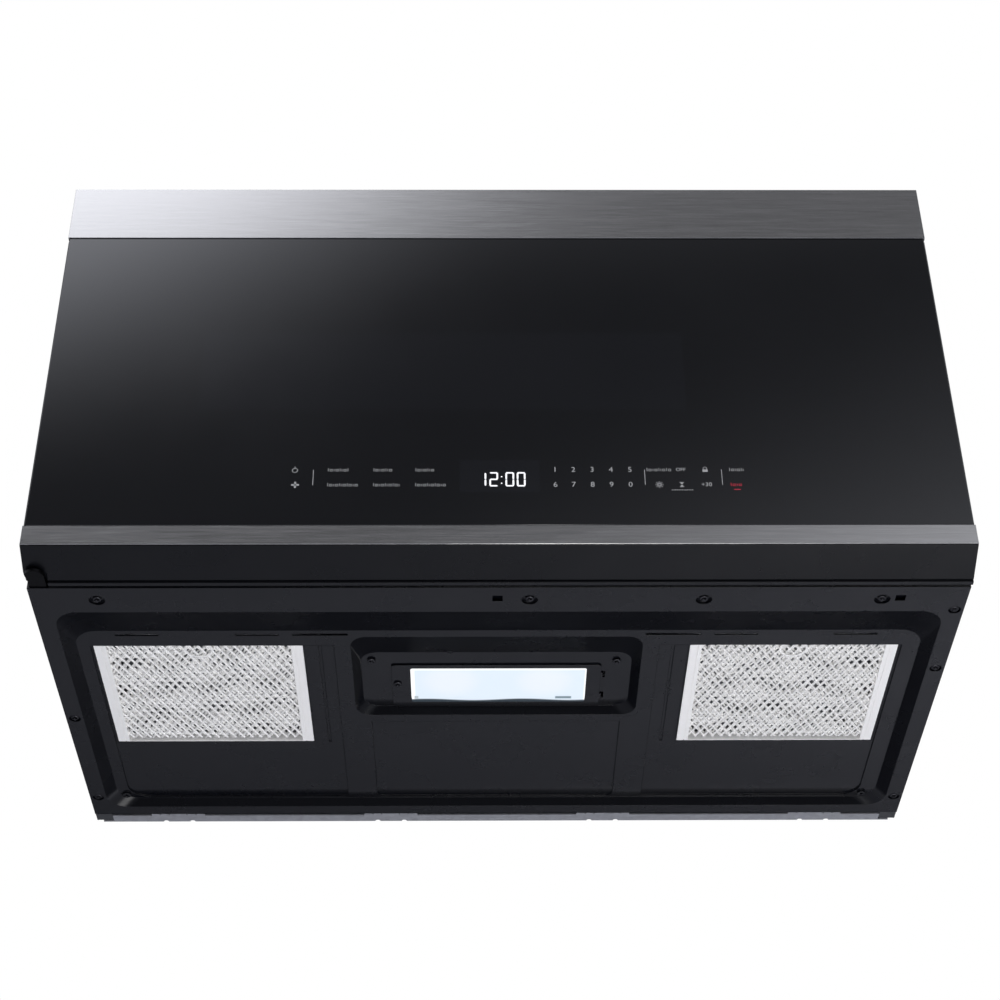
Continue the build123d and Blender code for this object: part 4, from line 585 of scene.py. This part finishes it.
def keypad():
    """The ten figures, and the two keys that are marked by more than a figure."""
    columns = (44.9 * mm, 59.7 * mm, 75.0 * mm, 90.3 * mm, 105.7 * mm)
    made = []
    for n, x in enumerate(columns):
        made.append(figure(str(n + 1), x, row_high, 7.2 * mm))
        made.append(figure(str((n + 6) % 10), x, row_low, 7.2 * mm))
    made.append(figure("OFF", 147.0 * mm, row_high, 4.6 * mm))
    made.append(figure("+30", 167.2 * mm, row_low, 5.6 * mm))
    return made


def dividers():
    """Upright lines between the groups of keys."""
    return [bar(x, 81.5 * mm, 0.5 * mm, 15.5 * mm) for x in (-151.0 * mm, 117.6 * mm, 180.1 * mm)]


def power_sign(x=-166.0 * mm):
    """A ring with a stroke at its head."""
    ring = ring_line(x, row_high - 0.4 * mm, 2.4 * mm, 0.5 * mm, 24)
    return [ring, bar(x, row_high + 2.2 * mm, 0.6 * mm, 2.4 * mm)]


def fan_sign(x=-165.2 * mm, long=6.2 * mm, thick=1.6 * mm):
    """Two crossed strokes."""
    return [bar(x, row_low, thick, long), bar(x, row_low, long, thick)]


def lock_sign(x=166.8 * mm):
    """A body with a ring above it."""
    body = bar(x, row_high - 1.0 * mm, 4.2 * mm, 2.6 * mm)
    return [body, ring_line(x, row_high + 1.2 * mm, 1.7 * mm, 0.4 * mm, 16)]


def light_sign(x=129.0 * mm, reach=3.0 * mm, rays=8):
    """A ring with rays round it."""
    made = [ring_line(x, row_low, 1.9 * mm, 0.8 * mm, 16)]
    for n in range(rays):
        angle = 2 * math.pi * n / rays
        ray_x, ray_z = x + reach * math.cos(angle), row_low + reach * math.sin(angle)
        made.append(bar(ray_x, ray_z, 0.7 * mm, 0.7 * mm))
    return made


def hour_glass(x=147.2 * mm):
    """Two caps and the two halves between them, over a row of small marks."""
    made = [bar(x, row_low + rise, 3.6 * mm, 0.6 * mm) for rise in (-2.2 * mm, 2.2 * mm)]
    made += [bar(x, row_low + rise, 1.8 * mm, 1.2 * mm) for rise in (-1.1 * mm, 1.1 * mm)]
    first_mark, mark_step = 139.3 * mm, 2.0 * mm
    for n in range(9):
        made.append(bar(first_mark + mark_step * n, row_low - 5.4 * mm, 1.2 * mm, 0.7 * mm))
    return made


def word_marks(left, z, long, line=0.4 * mm):
    """Small upright strokes and hollow squares in a row, which spell nothing."""
    kinds = ("tall", "square", "short", "square", "tall", "short", "square")
    wide, gap = 1.8 * mm, 1.1 * mm
    foot = z - 1.5 * mm
    made = []
    x = left
    n = 0
    while x < left + long:
        kind = kinds[n % len(kinds)]
        tall = 3.4 * mm if kind == "tall" else 2.3 * mm
        made.append(bar(x, foot + tall / 2, line, tall))
        if kind == "square":
            made.append(bar(x + wide, foot + tall / 2, line, tall))
            made.append(bar(x + wide / 2, foot + line / 2, wide - line, line))
            made.append(bar(x + wide / 2, foot + tall - line / 2, wide - line, line))
            x += wide
        x += gap + line
        n += 1
    return made


def all_word_marks():
    """Rows of marks where the keys have words: the left end, the height and the length of each."""
    rows = (
        (-139.0 * mm, row_high, 17.2 * mm),
        (-102.0 * mm, row_high, 15.2 * mm),
        (-68.0 * mm, row_high, 15.8 * mm),
        (-139.0 * mm, row_low, 25.2 * mm),
        (-102.0 * mm, row_low, 21.2 * mm),
        (-68.0 * mm, row_low, 24.0 * mm),
        (119.7 * mm, row_high, 18.2 * mm),
        (186.8 * mm, row_high, 11.2 * mm),
    )
    return [mark for row in rows for mark in word_marks(*row)]


key_prints = keypad() + dividers() + power_sign() + fan_sign()
key_prints += all_word_marks() + lock_sign() + light_sign() + hour_glass()
print_flat("key_print", key_prints, finish["key_ink"])

stop_marks = word_marks(187.0 * mm, row_low, 9.5 * mm, line=0.48 * mm)
stop_line = bar(191.7 * mm, row_low - 5.0 * mm, 5.6 * mm, 0.8 * mm)
print_flat("stop_print", stop_marks + [stop_line], finish["stop_ink"])

# ---------------------------------------------------------------- clock
stroke = 1.45 * mm
stroke_gap = 0.9 * mm
clock_low, clock_high = 72.2 * mm, 86.8 * mm
half_height = (clock_high - clock_low) / 2
digit_parts = {
    "top": (0.5, 1.0, "flat"),
    "middle": (0.5, 0.5, "flat"),
    "foot": (0.5, 0.0, "flat"),
    "left_high": (0.0, 0.75, "upright"),
    "left_low": (0.0, 0.25, "upright"),
    "right_high": (1.0, 0.75, "upright"),
    "right_low": (1.0, 0.25, "upright"),
}
digit_lit = {
    "0": ("top", "foot", "left_high", "left_low", "right_high", "right_low"),
    "1": ("right_high", "right_low"),
    "2": ("top", "right_high", "middle", "left_low", "foot"),
}


def segment_bar(x, z, long, upright):
    """One lit bar of a digit, with pointed ends."""
    piece = bar(x, z, stroke if upright else long, long if upright else stroke)
    with whole_mesh():
        bpy.ops.mesh.bevel(offset=stroke * 0.42, segments=1, affect="VERTICES")
    return piece


def clock_digit(digit, left, right):
    """The lit bars of a digit between its left and its right side."""
    made = []
    for name in digit_lit[digit]:
        across, up, way = digit_parts[name]
        x = left + stroke / 2 + across * (right - left - stroke)
        z = clock_low + stroke / 2 + up * (clock_high - clock_low - stroke)
        upright = way == "upright"
        room = half_height if upright else right - left
        made.append(segment_bar(x, z, room - stroke_gap, upright))
    return made


clock_bars = []
for digit, left, right in (
    ("1", -18.5 * mm, -10.9 * mm),
    ("2", -8.5 * mm, -1.3 * mm),
    ("0", 4.5 * mm, 11.7 * mm),
    ("0", 13.7 * mm, 20.9 * mm),
):
    clock_bars += clock_digit(digit, left, right)
for z in (75.5 * mm, 82.2 * mm):
    clock_bars.append(segment_bar(1.5 * mm, z, stroke, True))
print_flat("clock_digits", clock_bars, finish["clock_segment"])

# ---------------------------------------------------------------- screws of the underside
head_radius = 3.6 * mm
head_edge = 0.7 * mm
shank_radius = 1.9 * mm
cross_reach = 2.1 * mm
cross_width = 0.9 * mm
cross_depth = 1.1 * mm
screw_turn = 0.7  # radians by which each screw is turned on from the one before it
screw_smooth_angle = 0.6


def pan_screw(name, head_height, shank):
    """A pan head screw that points up, with a cross recess in its head."""
    deselect()
    bpy.ops.mesh.primitive_cylinder_add(
        vertices=28, radius=head_radius, depth=head_height, location=(0, 0, head_height / 2)
    )
    head = added(name)
    with whole_mesh():
        bpy.ops.mesh.bevel(offset=head_edge, segments=3)
    settle(head)
    arms = []
    for reach_x, reach_y in ((cross_reach, cross_width / 2), (cross_width / 2, cross_reach)):
        arms.append(block("arm", (-reach_x, -reach_y, -cross_depth), (reach_x, reach_y, cross_depth)))
    for arm in arms:
        take(head)
        cut = head.modifiers.new("cross", "BOOLEAN")
        cut.operation = "DIFFERENCE"
        cut.solver = "EXACT"
        cut.object = arm
        apply_all(head)
        bpy.data.objects.remove(arm)
    deselect()
    bpy.ops.mesh.primitive_cylinder_add(
        vertices=16, radius=shank_radius, depth=shank, location=(0, 0, head_height + shank / 2)
    )
    return join(name, [head, settle(added("shank"))])


def corners(piece):
    """The low and the high corner of a piece."""
    points = [piece.matrix_world @ vertex.co for vertex in piece.data.vertices]
    low = Vector([min(point[axis] for point in points) for axis in range(3)])
    high = Vector([max(point[axis] for point in points) for axis in range(3)])
    return low, high


def loose_boxes(node):
    """The low and high corner of each loose part of a node."""
    take(own_copy(node))
    with whole_mesh():
        bpy.ops.mesh.remove_doubles(threshold=0.02 * mm)
        bpy.ops.mesh.separate(type="LOOSE")
    boxes = []
    for part in list(bpy.context.selected_objects):
        boxes.append(corners(part))
        bpy.data.objects.remove(part)
    return sorted(boxes, key=lambda box: tuple(box[0]))


def fit_screws(name, node_name, body, head_height):
    """Puts a modelled screw in the place of each screw of a node."""
    boxes = loose_boxes(nodes[node_name])
    shank = boxes[0][1].z - boxes[0][0].z - head_height
    places = [((low.x + high.x) / 2, (low.y + high.y) / 2, low.z) for low, high in boxes]
    turns = [screw_turn * n for n in range(len(places))]
    piece = join(name, copies(pan_screw(name, head_height, shank), places, turns))
    dress(piece, finish["screw_steel"], body)
    bpy.ops.object.shade_smooth_by_angle(angle=screw_smooth_angle)
    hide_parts(node_name)


fit_screws("rim_screws", "base_screws", "chassis", 2.0 * mm)
fit_screws("cover_screw", "lamp_cover_screw", "lamp_door", 1.6 * mm)

# ---------------------------------------------------------------- spring of the latch
wire_radius = 0.6 * mm
wire_inset = 1.1 * wire_radius  # from each end of the spring to the middle of its wire
spring_turns = 9
spring_steps = 20
spring_smooth_angle = 0.9


def coil_spring(name, low, high):
    """A compression spring wound from wire between two heights, its two ends closed."""
    deselect()
    middle = (low + high) / 2
    coil_radius = (high.x - low.x) / 2 - wire_radius
    bpy.ops.mesh.primitive_circle_add(
        vertices=8,
        radius=wire_radius,
        location=(coil_radius, 0, low.z + wire_inset),
        rotation=(quarter_turn, 0, 0),
    )
    piece = settle(added(name))
    wind = piece.modifiers.new("wind", "SCREW")
    wind.axis = "Z"
    wind.screw_offset = (high.z - low.z - 2 * wire_inset) / spring_turns
    wind.iterations = spring_turns
    wind.steps = wind.render_steps = spring_steps
    apply_all(piece)
    with whole_mesh():
        bpy.ops.mesh.remove_doubles(threshold=0.001 * mm)
        bpy.ops.mesh.fill_holes(sides=0)
        bpy.ops.mesh.select_all(action="SELECT")
        bpy.ops.mesh.normals_make_consistent(inside=False)
    piece.location = (middle.x, middle.y, 0)
    settle(piece)
    bpy.ops.object.shade_smooth_by_angle(angle=spring_smooth_angle)
    return piece


low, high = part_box("latch_spring")
spring = dress(coil_spring("latch_coil", low, high), finish["screw_steel"], "door")
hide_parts("latch_spring")
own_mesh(spring)

# ---------------------------------------------------------------- grease filter nets
net_thick = 0.25 * mm
net_spare = 1.5  # length of an uncut layer against the diagonal of its frame
# Height in the frame, pitch, strand, ridge, turn and stretch of each layer.
net_layers = (
    (0.1 * mm, 5.5 * mm, 1.5 * mm, 0.9 * mm, 0.04, 1.9),
    (2.0 * mm, 5.3 * mm, 1.4 * mm, 0.8 * mm, -0.09, 1.85),
    (3.6 * mm, 5.0 * mm, 1.6 * mm, -0.6 * mm, 0.17, 1.8),
)


def net_layer(low, high, rise, pitch, strand, ridge, turn, stretch):
    """One layer of expanded sheet: ridged strands round diamond gaps, cut to the frame."""
    deselect()
    middle = (low + high) / 2
    count = int(net_spare * math.hypot(high.x - low.x, high.y - low.y) / pitch)
    bpy.ops.mesh.primitive_grid_add(x_subdivisions=count, y_subdivisions=count, size=count * pitch)
    piece = added("net_layer")
    with whole_mesh():
        bpy.ops.mesh.inset(thickness=strand / 2, depth=ridge, use_individual=True)
        bpy.ops.mesh.delete(type="FACE")
    piece.rotation_euler.z = math.pi / 4
    settle(piece)
    piece.scale = (1.0, stretch, 1.0)
    settle(piece)
    piece.rotation_euler.z = turn
    piece.location = (middle.x, middle.y, low.z + rise)
    settle(piece)
    sides = (
        ((low.x, 0, 0), (-1, 0, 0)),
        ((high.x, 0, 0), (1, 0, 0)),
        ((0, low.y, 0), (0, -1, 0)),
        ((0, high.y, 0), (0, 1, 0)),
    )
    with whole_mesh():
        for place, outwards in sides:
            bpy.ops.mesh.select_all(action="SELECT")
            bpy.ops.mesh.bisect(plane_co=place, plane_no=outwards, clear_outer=True)
    wall = piece.modifiers.new("thickness", "SOLIDIFY")
    wall.thickness = net_thick
    apply_all(piece)
    return piece


for side, hand in (("left", 1), ("right", -1)):
    low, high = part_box(f"grease_filter_mesh_{side}")
    layers = []
    for rise, pitch, strand, ridge, turn, stretch in net_layers:
        layers.append(net_layer(low, high, rise, pitch, strand, ridge, hand * turn, stretch))
    piece = join(f"filter_net_{side}", layers)
    dress(piece, finish["filter_mesh"], f"filter_{side}")
    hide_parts(f"grease_filter_mesh_{side}")

# ---------------------------------------------------------------- camera
camera_place = (-0.0188, -1.5621, -0.9504)
yaw, pitch, roll = math.radians(0.79989), math.radians(36.8326), math.radians(-0.53577)
camera = bpy.data.objects.new("camera", bpy.data.cameras.new("camera"))
bpy.context.scene.collection.objects.link(camera)
camera.data.lens = 75.46
camera.data.sensor_width = 36.0
camera.data.clip_end = 100.0
camera.matrix_world = (
    Matrix.Translation(camera_place)
    @ Matrix.Rotation(-yaw, 4, "Z")
    @ Matrix.Rotation(quarter_turn + pitch, 4, "X")
    @ Matrix.Rotation(roll, 4, "Z")
)
bpy.context.scene.camera = camera

# ---------------------------------------------------------------- floor
floor_size = 6.6
floor_level = -1.75

deselect()
bpy.ops.mesh.primitive_plane_add(size=floor_size, location=(0, 0, floor_level))
floor = added("floor")
pale = Finish("floor_pale", (0.67, 0.68, 0.76), 0.7)
out = pale.use(coat_peel, Fine=30.0, Broad=1.0)
pale.shade(out["Blotch"], 0.99, 1.0)
# The camera sees the floor as white paper.
paper = pale.tree.nodes.new("ShaderNodeEmission")
paper.inputs["Color"].default_value = (1.0, 1.0, 1.0, 1.0)
seen = pale.tree.nodes.new("ShaderNodeLightPath")
cover = pale.tree.nodes.new("ShaderNodeMixShader")
pale.tree.links.new(seen.outputs["Is Camera Ray"], cover.inputs[0])
pale.tree.links.new(pale.shader.outputs[0], cover.inputs[1])
pale.tree.links.new(paper.outputs[0], cover.inputs[2])
pale.tree.links.new(cover.outputs[0], pale.tree.nodes["Material Output"].inputs["Surface"])
floor.data.materials.append(pale.material)
floor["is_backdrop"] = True

# ---------------------------------------------------------------- world
world = bpy.data.worlds.new("studio")
world.use_nodes = True
bpy.context.scene.world = world
sky = world.node_tree
sky.nodes.clear()
paths = sky.nodes.new("ShaderNodeLightPath").outputs
across, inward, up = axes_of(sky, sky.nodes.new("ShaderNodeTexCoord").outputs["Generated"])


def backdrop(strength, colour=(1.0, 1.0, 1.0)):
    """A plain backdrop of the given strength, a number or a socket."""
    node = sky.nodes.new("ShaderNodeBackground")
    node.inputs["Color"].default_value = (*colour, 1.0)
    feed(sky, node.inputs["Strength"], strength)
    return node.outputs[0]


def mirrored_screen(at_x, at_z, squeeze, reach, power, strength, most):
    """A soft screen in the mirrored room, brightest at one direction and never above a limit."""
    off_x = maths(sky, "SUBTRACT", across, at_x)
    off_z = maths(sky, "MULTIPLY", maths(sky, "SUBTRACT", up, at_z), squeeze)
    square_x = maths(sky, "MULTIPLY", off_x, off_x)
    square_z = maths(sky, "MULTIPLY", off_z, off_z)
    off = maths(sky, "SQRT", maths(sky, "ADD", square_x, square_z))
    near = ramp(sky, off, 0.0, reach, 1.0, 0.0, smooth=True)
    bright = maths(sky, "MULTIPLY", maths(sky, "POWER", near, power), strength)
    return maths(sky, "MINIMUM", bright, most)


def mixed_by(choice, first, second):
    """The first shader where the choice is nothing, the second where it is one."""
    node = sky.nodes.new("ShaderNodeMixShader")
    for socket, value in zip(node.inputs, (choice, first, second)):
        sky.links.new(value, socket)
    return node.outputs[0]


# What shiny faces mirror: a dim room before the oven with a large screen high on the left and a
# small one on the right, and a pale room behind it above a dark skirting.
large_screen = mirrored_screen(-0.53, 0.81, squeeze=2.56, reach=0.68, power=1.67, strength=40.0, most=3.06)
small_screen = mirrored_screen(0.50, 0.33, squeeze=2.13, reach=0.80, power=1.0, strength=3.5, most=1.55)
ceiling = ramp(sky, up, 0.675, 0.70, 0.16, 0.33, smooth=True)
ahead = maths(sky, "ADD", maths(sky, "ADD", large_screen, small_screen), ceiling)
behind = ramp(sky, up, 0.25, 0.7, 0.02, 1.0, smooth=True)
is_behind = ramp(sky, inward, -0.3, 0.2, smooth=True)
ahead_share = maths(sky, "MULTIPLY", ahead, maths(sky, "SUBTRACT", 1.0, is_behind))
behind_share = maths(sky, "MULTIPLY", behind, is_behind)
room = maths(sky, "ADD", ahead_share, behind_share)
mirrored = maths(sky, "MAXIMUM", paths["Is Glossy Ray"], paths["Is Transmission Ray"])
plain_or_mirrored = mixed_by(mirrored, backdrop(0.4, (0.95, 0.97, 1.0)), backdrop(room, (0.9, 0.92, 1.0)))
all_rays = mixed_by(paths["Is Camera Ray"], plain_or_mirrored, backdrop(1.0))
sky.links.new(all_rays, sky.nodes.new("ShaderNodeOutputWorld").inputs["Surface"])

# ---------------------------------------------------------------- lamps


def soft_lamp(name, place, aim, size, power, mirrored=True):
    """A square soft lamp turned towards a point, seen in shiny faces or not."""
    data = bpy.data.lights.new(name, "AREA")
    data.shape = "RECTANGLE"
    data.size, data.size_y = size
    data.energy = power
    lamp = bpy.data.objects.new(name, data)
    lamp.visible_glossy = mirrored
    bpy.context.scene.collection.objects.link(lamp)
    lamp.location = place
    lamp.rotation_euler = (Vector(aim) - Vector(place)).to_track_quat("-Z", "Y").to_euler()


soft_lamp("lamp_upper_left", (-2.2, -2.6, 2.6), (0, 0, 0.2), (1.4, 1.4), 40.0, mirrored=False)
soft_lamp("lamp_lower_right", (2.4, -3.0, 1.2), (0, 0, 0.2), (0.8, 1.2), 14.0, mirrored=False)
soft_lamp("lamp_below", (0.4, -0.6, -1.6), (0.1, 0, 0.0), (1.2, 1.0), 22.0)
soft_lamp("lamp_above", (0.2, 0.6, 2.8), (0, 0, 0.3), (2.0, 2.0), 24.0)
soft_lamp("lamp_behind", (-0.6, 4.4, 0.9), (0, 0, 0.3), (1.6, 1.2), 36.0, mirrored=False)
soft_lamp("lamp_floor_right", (1.7, 2.9, -0.4), (1.3, 2.9, floor_level), (1.2, 1.2), 24.0)

bpy.context.scene.view_settings.view_transform = "Standard"

low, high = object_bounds()
